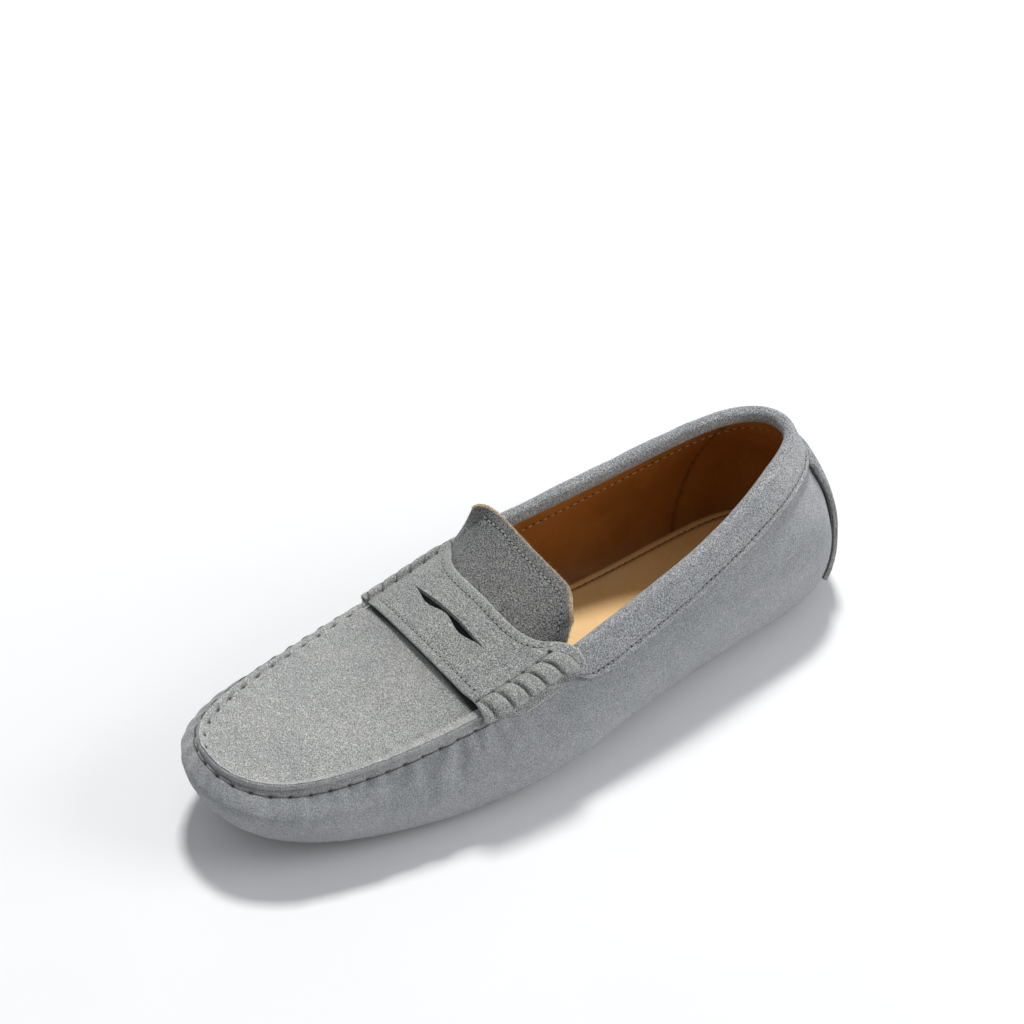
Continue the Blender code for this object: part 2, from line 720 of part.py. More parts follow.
def make_outsole():
    """Thin rubber plate with studs under the heel and the forefoot, smooth at arch and toe."""
    turns = sole_rows()
    columns = 9
    top = tread_lines(OUTSOLE_INSET, columns, turns, OUTSOLE_ROUND)
    top[..., 2] -= CLEARANCE
    bottom = tread_lines(OUTSOLE_INSET + OUTSOLE_THICKNESS * 0.3, columns, turns, OUTSOLE_ROUND)
    bottom[..., 2] -= CLEARANCE + OUTSOLE_THICKNESS
    skin = Skin()
    over = [skin.row(line) for line in top]
    under = [skin.row(line) for line in bottom]
    skin.bridges(over)
    for end in (0, -1):
        skin.bridge(over[end], under[end])
        skin.bridge([row[end] for row in over], [row[end] for row in under])
    for first in range(0, len(turns) - 1, 2):
        level = bottom[first + 1, :, 2].mean()
        for column in range(0, columns - 1, 2):
            rows = under[first:first + 3]
            cell = [rows[0][column], rows[0][column + 1], rows[0][column + 2],
                    rows[1][column + 2], rows[2][column + 2], rows[2][column + 1],
                    rows[2][column], rows[1][column]]
            centre = np.array(skin.points[rows[1][column + 1]])
            grounded = level < STUD_HEIGHT + TOE_SPRING * 0.14
            room = np.linalg.norm(np.array(skin.points[cell[7]]) - centre) > STUD_RADIUS * 1.2
            if grounded and room:
                stud(skin, cell, centre)
            else:
                for near, far in zip(rows, rows[1:]):
                    skin.bridge(near[column:column + 3], far[column:column + 3])
    return skin.object("outsole", leather("rubber", (0.10, 0.10, 0.10), 0.7), sharp=30)


def main():
    """Clear the scene and make each piece."""
    for old in list(bpy.data.objects):
        bpy.data.objects.remove(old, do_unlink=True)
    make_upper()
    make_strap()
    make_tongue()
    make_binding()
    make_heel_patch()
    make_insole()
    make_outsole()


main()
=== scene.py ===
# %% [markdown]
# # A driving moccasin in grey suede
# This lesson dresses one left shoe. The toe points along -Y, the outer side of the foot is +X
# and the floor is z = 0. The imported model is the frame, and every piece made here lies on it.

# %% Load the frame
import math

import bmesh
import bpy
import numpy as np
from mathutils import Matrix, Vector, noise


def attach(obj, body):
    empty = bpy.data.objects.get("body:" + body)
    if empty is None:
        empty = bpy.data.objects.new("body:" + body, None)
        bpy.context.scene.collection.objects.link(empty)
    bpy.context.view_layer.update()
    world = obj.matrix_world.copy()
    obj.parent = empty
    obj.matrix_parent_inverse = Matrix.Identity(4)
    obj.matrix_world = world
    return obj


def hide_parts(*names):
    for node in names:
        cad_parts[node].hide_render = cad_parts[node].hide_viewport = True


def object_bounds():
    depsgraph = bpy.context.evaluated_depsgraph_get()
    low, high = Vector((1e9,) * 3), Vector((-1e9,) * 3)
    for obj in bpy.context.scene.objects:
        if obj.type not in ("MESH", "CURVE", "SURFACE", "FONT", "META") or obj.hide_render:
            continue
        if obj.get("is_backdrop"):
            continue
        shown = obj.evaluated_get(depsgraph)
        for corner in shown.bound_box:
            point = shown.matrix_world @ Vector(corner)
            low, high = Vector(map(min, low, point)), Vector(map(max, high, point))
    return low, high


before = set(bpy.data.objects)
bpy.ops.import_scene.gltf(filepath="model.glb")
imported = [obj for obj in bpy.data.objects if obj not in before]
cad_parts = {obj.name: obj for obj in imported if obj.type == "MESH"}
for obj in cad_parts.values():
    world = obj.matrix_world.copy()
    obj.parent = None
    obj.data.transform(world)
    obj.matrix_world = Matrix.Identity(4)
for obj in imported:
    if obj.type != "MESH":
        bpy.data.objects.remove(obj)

cad_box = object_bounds()
print("frame nodes:", sorted(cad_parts))

# %% [markdown]
# A shoe starts from its last, the solid foot that the leather is pulled over. Here it is
# fourteen sections round the foot, each with a tread point under the foot, a side point where
# the leather is widest and a rim point at the top edge. A smooth closed curve through each kind
# of point gives any place by its turn (0 heel back, 7 toe tip, 14 heel again) and its climb.

# %% Sizes of the last and of the leather, in metres
LENGTH, BALL_WIDTH = 0.288, 0.100
INSTEP_HEIGHT, HEEL_HEIGHT = 0.049, 0.070
CROWN_HEIGHT, TOE_SPRING = 0.012, 0.008
WALL, BED_GAP = 0.0020, 0.0003
SEAM_HEIGHT, SEAM_WIDTH = 0.0036, 0.0044
SOLE_LIFT = 0.0048
TURNS, TOE = 14, 7.0
STRAP_REAR, APRON_REAR, STRAP_FRONT = 4.0, 4.5, 5.0
WIDEST = 0.42

# tread: along, across, spring | side: along, across, up | rim: along, across, up | heel | fullness
SECTIONS = np.array((
    (0.456, -0.029, 0.00, 0.492, -0.029, 0.40, 0.448, -0.034, 1.01, 1.00, 0.35),
    (0.444, 0.151, 0.00, 0.464, 0.229, 0.38, 0.433, 0.051, 0.99, 1.00, 0.30),
    (0.376, 0.271, 0.00, 0.389, 0.353, 0.37, 0.360, 0.163, 0.96, 1.00, 0.30),
    (0.216, 0.319, 0.10, 0.216, 0.407, 0.44, 0.206, 0.273, 0.98, 0.50, 0.25),
    (0.025, 0.389, 0.16, 0.024, 0.486, 0.39, 0.000, 0.339, 1.00, 0.00, 0.30),
    (-0.170, 0.427, 0.00, -0.160, 0.481, 0.27, -0.151, 0.349, 0.85, 0.00, 0.30),
    (-0.382, 0.247, 0.52, -0.417, 0.291, 0.48, -0.394, 0.216, 0.72, 0.00, 0.50),
    (-0.446, -0.064, 1.00, -0.500, -0.079, 0.60, -0.476, -0.107, 0.74, 0.00, 0.60),
    (-0.378, -0.299, 0.60, -0.415, -0.417, 0.54, -0.394, -0.357, 0.73, 0.00, 0.50),
    (-0.174, -0.399, 0.00, -0.160, -0.501, 0.29, -0.162, -0.409, 0.88, 0.00, 0.30),
    (0.025, -0.294, 0.25, 0.020, -0.446, 0.43, -0.003, -0.409, 1.02, 0.00, 0.30),
    (0.216, -0.271, 0.18, 0.216, -0.409, 0.46, 0.212, -0.347, 0.96, 0.50, 0.30),
    (0.376, -0.284, 0.00, 0.389, -0.381, 0.38, 0.364, -0.249, 0.97, 1.00, 0.30),
    (0.444, -0.204, 0.00, 0.464, -0.299, 0.38, 0.436, -0.149, 1.00, 1.00, 0.30),
))
CROWN = np.array((  # along the foot, rise of the apron's middle
    (-0.470, -0.06), (-0.394, 0.18), (-0.280, 0.36), (-0.158, 0.52),
    (-0.055, 0.78), (0.000, 0.95), (0.060, 1.10),
)) * (LENGTH, CROWN_HEIGHT)

(tread_y, tread_x, spring, side_y, side_x, side_up,
 rim_y, rim_x, rim_up, heel_share, fullness) = SECTIONS.T
section_height = heel_share * HEEL_HEIGHT + (1 - heel_share) * INSTEP_HEIGHT
TREAD = np.stack((tread_x * BALL_WIDTH, tread_y * LENGTH, SOLE_LIFT + spring * TOE_SPRING), 1)
SIDE = np.stack((side_x * BALL_WIDTH, side_y * LENGTH, side_up * section_height), 1)
RIM = np.stack((rim_x * BALL_WIDTH, rim_y * LENGTH, rim_up * section_height), 1)
FULL = fullness[:, None]
print("last:", len(SECTIONS), "sections,", LENGTH * 1000, "mm long")

# %% The smooth curves of the last
BEND = np.linalg.inv(np.array([[4.0 if a == b else float((a - b) % TURNS in (1, TURNS - 1))
                                for b in range(TURNS)] for a in range(TURNS)]))


def round_curve(knots, turns):
    """Points of the smooth closed curve through the knots, one knot at each whole turn."""
    pull = BEND @ (6 * (np.roll(knots, -1, 0) - 2 * knots + np.roll(knots, 1, 0)))
    turns = np.asarray(turns, float) % TURNS
    low = np.floor(turns).astype(int) % TURNS
    high = (low + 1) % TURNS
    part = (turns - np.floor(turns))[..., None]
    back = 1 - part
    straight = knots[low] * back + knots[high] * part
    return straight + ((back ** 3 - back) * pull[low] + (part ** 3 - part) * pull[high]) / 6


print("rim at the heel and at the toe:", np.round(round_curve(RIM, np.array((0.0, TOE))) * 1000), "mm")


# %% The side of the last
def side_points(turns, climb):
    """Places on the outside of the shoe, for an array of turns and one climb."""
    tread, side, rim = (round_curve(knots, turns) for knots in (TREAD, SIDE, RIM))
    if climb <= WIDEST:
        angle = climb / WIDEST * math.pi / 2
        points = tread + (side - tread) * math.sin(angle)
        points[..., 2] = tread[..., 2] + (side - tread)[..., 2] * (1 - math.cos(angle))
        return points
    full = round_curve(FULL, turns)
    part = (climb - WIDEST) / (1 - WIDEST)
    rise = (rim - side)[..., 2:]
    lower = side + np.concatenate((0 * rise, 0 * rise, 0.5 * rise), -1)
    spread = (side - rim)[..., :2] * full * 0.8
    upper = rim + np.concatenate((spread, -rise * 0.45 * (1 - full)), -1)
    back = 1 - part
    return (back ** 3 * side + 3 * back ** 2 * part * lower
            + 3 * back * part ** 2 * upper + part ** 3 * rim)


def unit(vectors):
    """Vectors scaled to length 1."""
    return vectors / np.maximum(np.linalg.norm(vectors, axis=-1, keepdims=True), 1e-12)


def run_along(points):
    """Distance along a line of points, from its start to each of them."""
    steps = np.linalg.norm(np.diff(points, axis=0), axis=1)
    return np.concatenate(((0.0,), np.cumsum(steps)))


def side_normals(turns, climb):
    """Outward directions of the outside of the shoe."""
    along = side_points(turns + 0.01, climb) - side_points(turns - 0.01, climb)
    up = side_points(turns, min(climb + 0.01, 1.0)) - side_points(turns, max(climb - 0.01, 0.0))
    return unit(np.cross(up, along))


def inward(turns):
    """Level directions from the rim towards the inside of the shoe."""
    along = round_curve(RIM, turns + 0.02) - round_curve(RIM, turns - 0.02)
    return unit(np.stack((along[..., 1], -along[..., 0], 0 * along[..., 0]), -1))


print("half way up the toe:", np.round(side_points(np.array((TOE,)), 0.5)[0] * 1000), "mm")

# %% [markdown]
# Much of the work happens at a depth below the rim, measured down the leather: the collar's
# binding, the rows of holes, the threads. So the next helper walks down the side from the rim
# and finds the place at a given depth, with the way out of the leather there.


# %% Places at a depth below the rim
def band_point(turns, depths, lifts):
    """Places given depths below the rim, measured down the side, lifted off it."""
    turns, depths = np.broadcast_arrays(np.asarray(turns, float), np.asarray(depths, float))
    climbs = np.linspace(1.0, WIDEST - 0.06, 30)
    grid = np.stack([side_points(turns, climb) for climb in climbs])
    out = np.stack([side_normals(turns, climb) for climb in climbs])
    steps = np.linalg.norm(np.diff(grid, axis=0), axis=-1)
    run = np.concatenate((np.zeros((1,) + turns.shape), np.cumsum(steps, 0)))
    low = np.clip((run <= depths).sum(0) - 1, 0, len(climbs) - 2)
    pick = lambda table, index: np.take_along_axis(table, index[None, ..., None], 0)[0]
    start = np.take_along_axis(run, low[None], 0)[0]
    end = np.take_along_axis(run, low[None] + 1, 0)[0]
    part = ((depths - start) / (end - start))[..., None]
    place = pick(grid, low) * (1 - part) + pick(grid, low + 1) * part
    normal = unit(pick(out, low) * (1 - part) + pick(out, low + 1) * part)
    return place + normal * np.asarray(lifts)[..., None], normal


heel_place = band_point(np.zeros(1), 0.020, 0.0)[0][0]
print("20 mm below the rim at the heel:", np.round(heel_place * 1000), "mm")


# %% The top of the forefoot
def crown_rise(along):
    """Rise of the apron's middle over the line between its seams."""
    slopes = np.gradient(CROWN[:, 1], CROWN[:, 0])
    along = np.clip(along, CROWN[0, 0], CROWN[-1, 0])
    low = np.clip(np.searchsorted(CROWN[:, 0], along) - 1, 0, len(CROWN) - 2)
    width = CROWN[low + 1, 0] - CROWN[low, 0]
    part = (along - CROWN[low, 0]) / width
    back = 1 - part
    return (CROWN[low, 1] * (1 + 2 * part) * back ** 2 + slopes[low] * width * part * back ** 2
            + CROWN[low + 1, 1] * (3 - 2 * part) * part ** 2
            - slopes[low + 1] * width * back * part ** 2)


def apron_face(turns, across, margin=SEAM_WIDTH):
    """Places on the top of the forefoot; across runs from -1, inner seam, to 1, outer seam."""
    turns, across = np.broadcast_arrays(np.asarray(turns, float), np.asarray(across, float))
    near, far = round_curve(RIM, turns), round_curve(RIM, TURNS - turns)
    half = np.linalg.norm(near - far, axis=-1) / 2
    rise = crown_rise((near[..., 1] + far[..., 1]) / 2)
    inset = margin / np.hypot(1.0, 2 * rise / np.maximum(half, SEAM_WIDTH * 2))
    near = near + inward(turns) * inset[..., None]
    far = far + inward(TURNS - turns) * inset[..., None]
    middle = (near + far) / 2
    points = middle + (near - middle) * across[..., None]
    share = across * np.maximum(half - inset, 0.0) / np.maximum(half, inset)
    points[..., 2] += rise * (1 - share ** 2)
    return points


def apron_normals(turns, across, margin=SEAM_WIDTH):
    """Upward directions of the top of the forefoot."""
    turns, across = np.broadcast_arrays(np.asarray(turns, float), np.asarray(across, float))
    ahead = np.minimum(turns + 0.02, TOE)
    run = apron_face(ahead - 0.04, across, margin) - apron_face(ahead, across, margin)
    wide = apron_face(turns, across + 0.02, margin) - apron_face(turns, across - 0.02, margin)
    normals = np.cross(wide, run)
    normals[np.linalg.norm(normals, axis=-1) < 1e-13] = (0, 0, 1)
    return unit(normals)


print("middle of the apron:", np.round(apron_face(np.array((6.0,)), 0.0)[0] * 1000), "mm")


# %% The frame of the seam
def seam_frame(turns):
    """At any turn of the seam: rim point, its foot on the apron, way in, and way up."""
    turns = np.asarray(turns, float)
    outer = turns <= TOE
    folded = np.where(outer, turns, TURNS - turns)
    across = np.where(outer, 1.0, -1.0)
    rim = round_curve(RIM, turns)
    foot = apron_face(folded, across)
    lean = side_normals(turns, 1.0) + apron_normals(folded, across)
    return rim, foot, unit(foot - rim), unit(lean + np.array((0.0, 0.0, 1.0)))


print("way up at the toe's seam:", np.round(seam_frame(np.array((TOE,)))[3][0], 2))

# %% Distance along the seam
seam_table = np.linspace(2.0, 12.0, 2001)
seam_places = round_curve(RIM, seam_table)
seam_length = run_along(seam_places)
seam_length -= np.interp(TOE, seam_table, seam_length)


def seam_run(turns):
    """Distance along the rim from the toe tip, negative on the outer side."""
    return np.interp(turns, seam_table, seam_length)


def seam_turn(run):
    """Turn at a distance along the rim from the toe tip."""
    return np.interp(run, seam_length, seam_table)


print("apron seam:", round(float(seam_run(9.5) - seam_run(4.5)) * 1000), "mm from strap to strap")

# %% [markdown]
# Suede is leather with its flesh side brushed up. The nap scatters light, so it looks matt and
# speckled, paler where it lies flat and darker in cuts and holes. The leather is a principled
# shader: noise at three sizes gives the blotches, the clouds and the speckle, and two marks kept
# on the mesh say where an edge is pale, where light is painted on crests, and where shade is
# painted dark in holes, folds and under other pieces. Sheen lights the outline.


# %% Mixing helpers for the shaders
def socket_mix(tree, factor, first, second, mode="MIX"):
    """A colour mix node; each entry is a socket or a fixed value."""
    mix = tree.nodes.new("ShaderNodeMix")
    mix.data_type = "RGBA"
    mix.blend_type = mode
    for place, value in ((0, factor), (6, first), (7, second)):
        if hasattr(value, "links"):
            tree.links.new(value, mix.inputs[place])
        else:
            mix.inputs[place].default_value = value if place == 0 else (*value, 1)
    return mix.outputs[2]


def noise_field(tree, scale, detail, rough=0.5, low=0.35, high=0.65):
    """Noise at a real scale in cells per metre, spread to the range 0 to 1."""
    place = tree.nodes.new("ShaderNodeTexCoord")
    field = tree.nodes.new("ShaderNodeTexNoise")
    spread = tree.nodes.new("ShaderNodeMapRange")
    for socket, value in (("Scale", scale), ("Detail", detail), ("Roughness", rough)):
        field.inputs[socket].default_value = value
    for socket, value in (("From Min", low), ("From Max", high)):
        spread.inputs[socket].default_value = value
    tree.links.new(place.outputs["Object"], field.inputs["Vector"])
    tree.links.new(field.outputs["Fac"], spread.inputs["Value"])
    return spread.outputs["Result"]


def mesh_mark(tree, name):
    """A mark kept on the mesh, from 0 to 1."""
    mark = tree.nodes.new("ShaderNodeAttribute")
    mark.attribute_name = name
    return mark.outputs["Fac"]


def bump(tree, shader, *layers):
    """Chain height fields, each a (socket, depth in metres), into the shader's normal."""
    last = None
    for field, depth in layers:
        node = tree.nodes.new("ShaderNodeBump")
        node.inputs["Strength"].default_value = 1.0
        node.inputs["Distance"].default_value = depth
        tree.links.new(field, node.inputs["Height"])
        if last:
            tree.links.new(last, node.inputs["Normal"])
        last = node.outputs["Normal"]
    tree.links.new(last, shader.inputs["Normal"])


def fresh_material(name):
    """A new material with its shader and tree."""
    material = bpy.data.materials.new(name)
    material.use_nodes = True
    return material, material.node_tree, material.node_tree.nodes["Principled BSDF"]


# %% Suede
NAP_DEPTH = 0.00030
PAINTED_SHADE_TONE = (0.030, 0.030, 0.028)


def mottled(tree, colour, field, shade):
    """The colour, multiplied by a shade where the field is low."""
    return socket_mix(tree, field, socket_mix(tree, 1.0, colour, shade, "MULTIPLY"), colour)


def suede(name, dark, mid, pale, calm, raw=(0.60, 0.595, 0.565)):
    """Brushed leather between three given tones; calm is the share of the middle tone."""
    material, tree, shader = fresh_material(name)
    speckle = noise_field(tree, 2200, 2, 0.6, 0.39, 0.61)
    cloud = noise_field(tree, 240, 3, 0.6, 0.30, 0.70)
    blotch = noise_field(tree, 38, 3, 0.55, 0.32, 0.68)
    colour = socket_mix(tree, calm, socket_mix(tree, speckle, dark, pale), mid)
    colour = mottled(tree, colour, cloud, (0.90, 0.90, 0.90))
    colour = mottled(tree, colour, blotch, (0.88, 0.89, 0.91))
    raw_dark, raw_pale = [0.62 * tone for tone in raw], [min(1.0, 1.35 * tone) for tone in raw]
    raw_tone = socket_mix(tree, speckle, raw_dark, raw_pale)
    # The pale mark gives raw edges their raw colour and paints light on crests; the dark mark paints
    # shade in holes, folds and gaps under other pieces.
    colour = socket_mix(tree, mesh_mark(tree, "pale"), colour, raw_tone)
    colour = socket_mix(tree, mesh_mark(tree, "dark"), colour, PAINTED_SHADE_TONE)
    tree.links.new(colour, shader.inputs["Base Color"])
    shader.inputs["Roughness"].default_value = 0.95
    shader.inputs["Specular IOR Level"].default_value = 0.15
    shader.inputs["Sheen Weight"].default_value = 0.35
    shader.inputs["Sheen Roughness"].default_value = 0.45
    shader.inputs["Sheen Tint"].default_value = (0.86, 0.88, 0.92, 1)
    bump(tree, shader, (cloud, NAP_DEPTH * 1.3), (speckle, NAP_DEPTH))
    return material


TAN_FLESH = (0.62, 0.45, 0.26)
apron_suede = suede("apron_suede_grey",
                    (0.24, 0.24, 0.228), (0.57, 0.57, 0.545), (0.98, 0.98, 0.94), 0.26)
# The side's suede is a little darker than the apron's, and bluish: the blue tint paints the colour of
# the fill light on the shaded side.
side_suede = suede("side_suede_grey",
                   (0.26, 0.264, 0.268), (0.47, 0.475, 0.479), (0.75, 0.758, 0.765), 0.38)
strap_suede = suede("strap_suede_grey",
                    (0.11, 0.11, 0.105), (0.37, 0.375, 0.355), (0.84, 0.845, 0.805), 0.26)
tongue_suede = suede("tongue_suede_grey",
                     (0.040, 0.040, 0.038), (0.19, 0.19, 0.18), (0.54, 0.54, 0.51), 0.16, TAN_FLESH)
binding_suede = suede("binding_suede_grey",
                      (0.15, 0.15, 0.152), (0.44, 0.443, 0.445), (0.90, 0.905, 0.91), 0.22)
patch_suede = suede("patch_suede_grey",
                    (0.12, 0.12, 0.122), (0.36, 0.362, 0.366), (0.74, 0.745, 0.755), 0.22)
print("suedes:", [m.name for m in bpy.data.materials if "suede" in m.name])


# %% [markdown]
# The lining and the footbed are smooth leather: soft clouds of tan, a fine grain and a little
# shine. Thread is plied, so its tone runs in short bands. Both are simple mixes of two tones.


# %% Smooth leather and thread
GRAIN_DEPTH = 0.00008


def smooth_leather(name, dark, pale, rough):
    """Vegetable tanned leather with its grain side out."""
    material, tree, shader = fresh_material(name)
    grain = noise_field(tree, 1100, 3, 0.6, 0.3, 0.7)
    cloud = noise_field(tree, 45, 3, 0.55, 0.3, 0.7)
    colour = mottled(tree, socket_mix(tree, cloud, dark, pale), grain, (0.93, 0.91, 0.88))
    colour = socket_mix(tree, mesh_mark(tree, "pale"), colour, (0.80, 0.66, 0.45))
    # The dark mark: a dark joint on the lining, and painted shade along the footbed's edge.
    colour = socket_mix(tree, mesh_mark(tree, "dark"), colour, (0.10, 0.045, 0.015))
    tree.links.new(colour, shader.inputs["Base Color"])
    shader.inputs["Roughness"].default_value = rough
    shader.inputs["Specular IOR Level"].default_value = 0.35
    bump(tree, shader, (cloud, GRAIN_DEPTH * 2), (grain, GRAIN_DEPTH))
    return material


def two_tone(name, field, dark, pale, rough, relief=0.0):
    """A plain finish between two tones of one noise, with relief from the same noise."""
    material, tree, shader = fresh_material(name)
    tone = noise_field(tree, *field)
    tree.links.new(socket_mix(tree, tone, dark, pale), shader.inputs["Base Color"])
    shader.inputs["Roughness"].default_value = rough
    if relief:
        bump(tree, shader, (tone, relief))
    return material


def waxed_thread(name, dark, pale):
    """Plied thread with a coat of wax."""
    return two_tone(name, (2600, 1, 0.5, 0.35, 0.65), dark, pale, 0.6, 0.0001)


lining_leather = smooth_leather("lining_leather_tan", (0.32, 0.115, 0.017), (0.42, 0.165, 0.030), 0.5)
footbed_leather = smooth_leather("footbed_leather_tan", (0.97, 0.59, 0.22), (1.0, 0.67, 0.29), 0.45)
seam_thread = waxed_thread("seam_thread_olive", (0.07, 0.072, 0.062), (0.18, 0.182, 0.16))
grey_thread = waxed_thread("grey_thread", (0.22, 0.22, 0.21), (0.52, 0.52, 0.50))
tan_thread = waxed_thread("tan_thread", (0.42, 0.28, 0.14), (0.66, 0.48, 0.28))
brown_thread = waxed_thread("brown_thread", (0.16, 0.08, 0.03), (0.34, 0.19, 0.08))
print("threads:", [m.name for m in bpy.data.materials if "thread" in m.name])

# %% [markdown]
# Each piece of the shoe is cut leather, so each is a closed skin with a real thickness. The
# helper below gathers rows of points, joins them with strips of faces and notes the two marks.
# Laying rows by hand keeps full control of where the faces are fine, such as along a seam.


# %% A closed piece of leather
class Cut:
    """One closed piece, laid out row by row, with its pale edges and its painted shade noted."""

    def __init__(self):
        self.points, self.pale, self.dark, self.quads, self.size = [], [], [], [], 0

    def row(self, points, pale=0.0, dark=0.0):
        """Add points of any layout and return their indices in the same layout."""
        points = np.asarray(points, float)
        shape = points.shape[:-1]
        count = int(np.prod(shape))
        self.points.append(points.reshape(-1, 3))
        self.pale.append(np.broadcast_to(pale, shape).reshape(-1))
        self.dark.append(np.broadcast_to(dark, shape).reshape(-1))
        self.size += count
        return np.arange(self.size - count, self.size).reshape(shape)

    def join(self, first, second, loop=False):
        """Join two rows of equal length with a strip of faces."""
        if loop:
            first, second = np.append(first, first[0]), np.append(second, second[0])
        self.quads.append(np.stack((first[:-1], first[1:], second[1:], second[:-1]), 1))

    def stack(self, rows, loop=False):
        """Join each row with the one after it."""
        for first, second in zip(rows, list(rows)[1:]):
            self.join(first, second, loop)

    def cap(self, loop):
        """Close an end whose points run up one side and back down the other."""
        loop = np.array(loop)
        half = len(loop) // 2
        self.join(loop[:half], loop[::-1][:half])

    def solid(self, name):
        """Make the object, cleaned of double points, with its faces turned outwards."""
        mesh = bpy.data.meshes.new(name)
        points, quads = np.concatenate(self.points), np.concatenate(self.quads)
        mesh.from_pydata(points.tolist(), [], quads.tolist())
        for mark in ("pale", "dark"):
            values = np.clip(np.concatenate(getattr(self, mark)), 0, 1)
            mesh.attributes.new(mark, "FLOAT", "POINT").data.foreach_set("value", values)
        work = bmesh.new()
        work.from_mesh(mesh)
        bmesh.ops.remove_doubles(work, verts=work.verts, dist=1e-6)
        bmesh.ops.dissolve_degenerate(work, edges=work.edges, dist=1e-6)
        bmesh.ops.recalc_face_normals(work, faces=work.faces)
        work.to_mesh(mesh)
        work.free()
        piece = bpy.data.objects.new(name, mesh)
        bpy.context.collection.objects.link(piece)
        return piece

    def finish(self, name, material, slot, *nodes):
        """Make the piece, and let it ride on the shoe in place of the frame's nodes."""
        piece = self.solid(name)
        piece.data.shade_smooth()
        piece.data.materials.append(material)
        return dress(piece, slot, *nodes)


# %% Riding on the shoe
def dress(piece, slot, *nodes):
    """Let a finished piece ride on the shoe in place of the frame's nodes; the slot is not used."""
    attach(piece, "root")
    if nodes:
        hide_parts(*nodes)
    print(piece.name, len(piece.data.polygons), "faces")
    return piece


# %% Sheets of leather
def edge_loop(grid):
    """Indices round the edge of a grid of points, in order."""
    return np.concatenate((grid[0, :], grid[1:, -1], grid[-1, -2::-1], grid[-2:0:-1, 0]))


def three_edges(grid):
    """The first side, the end and the other side of a grid, as one line."""
    return np.concatenate((grid[:, 0], grid[-1], grid[::-1, -1]))


# The third column of each row is painted shade along the foot of the raw edge.
RAW_EDGE = ((0.2, 0.75, 0.0), (0.5, 1.0, 0.15), (0.8, 0.75, 1.0))  # way down, bulge, shade
RAW_BULGE = 0.15


def sheet_of_leather(top, under, pale, dark, edge=0.6, shade=0.0):
    """Close a grid over another with a raw edge between; shade paints a dark shadow along the edge's
    foot.
    """
    cut = Cut()
    over, below = cut.row(top, pale, dark), cut.row(under)
    cut.stack(over)
    cut.stack(below)
    loop_top, loop_under = edge_loop(over), edge_loop(below)
    places = np.concatenate(cut.points)
    high, low = places[loop_top], places[loop_under]
    middle = (high + low) / 2
    ahead = np.roll(middle, -1, 0) - np.roll(middle, 1, 0)
    out = unit(np.cross(ahead, high - low))
    centre = middle.mean(0)
    if np.mean(np.sum(out * (middle - centre), 1)) < 0:
        out = -out
    thick = np.linalg.norm(high - low, axis=1, keepdims=True)
    raw = [cut.row(high + (low - high) * share + out * thick * RAW_BULGE * swell, edge, shade * deep)
           for share, swell, deep in RAW_EDGE]
    cut.stack([loop_top, *raw, loop_under], loop=True)
    return cut


print("raw edge:", len(RAW_EDGE), "rows between the two skins")


# %% Soft steps and slow noise
def smooth_step(value, low, high):
    """0 below low, 1 above high, and a soft step between."""
    part = np.clip((value - low) / (high - low), 0, 1)
    return part * part * (3 - 2 * part)


def peak(gap, width):
    """1 where the gap is 0, fading away on both sides over the width."""
    return np.exp(-(gap / width) ** 2)


def wander(values, seed, size):
    """A slow random line from -1 to 1, the same on each run."""
    flat = np.asarray(values, float).reshape(-1)
    found = [noise.noise(Vector((value / size, seed * 7.31, 0.5))) for value in flat]
    return np.array(found).reshape(np.shape(values)) * 1.6


def nap_waves(points, size, seed=0.0):
    """Uneven leather over a whole surface, from -1 to 1."""
    shift = Vector((seed, -seed, 2 * seed))
    flat = points.reshape(-1, 3) / size
    found = [noise.noise(Vector(place) + shift) for place in flat]
    return np.array(found).reshape(points.shape[:-1]) * 1.5


print("slow noise at 0 to 3:", np.round(wander(np.arange(4.0), 3, 1.7), 2))

# %% [markdown]
# The side and the apron are sewn edge to edge by hand. Both edges stand up as a ridge, with a
# hole through it about every seven millimetres, and the waxed thread pulls the leather tight at
# each hole, so that it swells between them and puckers below. The ridge is made of two lips, one
# on each piece, with a fine line where they meet. The puckers are soft waves of the same pitch
# that die away down the side, and a few listed troughs and ridges follow the ball's bend.

# %% The stitch pitch
PITCH = 0.0074


def pulled(turns):
    """1 at each hole of the seam and 0 half way between two."""
    return 0.5 + 0.5 * np.cos(2 * math.pi * seam_run(turns) / PITCH)


def hole_offset(turns):
    """Distance along the seam from the nearest hole."""
    run = seam_run(turns)
    return run - np.round(run / PITCH) * PITCH


print("pull at the toe and half a pitch on:", np.round(pulled(seam_turn(np.array((0, PITCH / 2)))), 2))

# %% Creases, and the relief of the side
# Turn, depth of the start below the seam, length, slant along the seam, width, height
CREASES = (
    (5.15, 0.004, 0.026, 0.006, 0.0030, -0.00075), (5.32, 0.003, 0.024, 0.004, 0.0028, -0.00065),
    (5.50, 0.004, 0.020, 0.003, 0.0032, -0.00060), (5.68, 0.003, 0.016, 0.002, 0.0028, -0.00050),
    (4.88, 0.006, 0.022, 0.007, 0.0034, -0.00055), (5.24, 0.006, 0.024, 0.005, 0.0036, 0.00045),
    (5.92, 0.003, 0.014, 0.001, 0.0026, -0.00040), (6.25, 0.003, 0.010, 0.000, 0.0024, -0.00035),
    (8.60, 0.004, 0.022, -0.005, 0.0032, -0.00060), (8.95, 0.003, 0.024, -0.005, 0.0034, -0.00065),
    (8.25, 0.003, 0.018, -0.003, 0.0030, -0.00050),
)
CREASE_DEPTH, CREASE_WIDTH = 1.8, 1.3  # factors on the table's height and width
PUCKER, LIP_FACE, STITCH_PIT, GROOVE = 0.00125, 0.00050, 0.00045, 0.00015
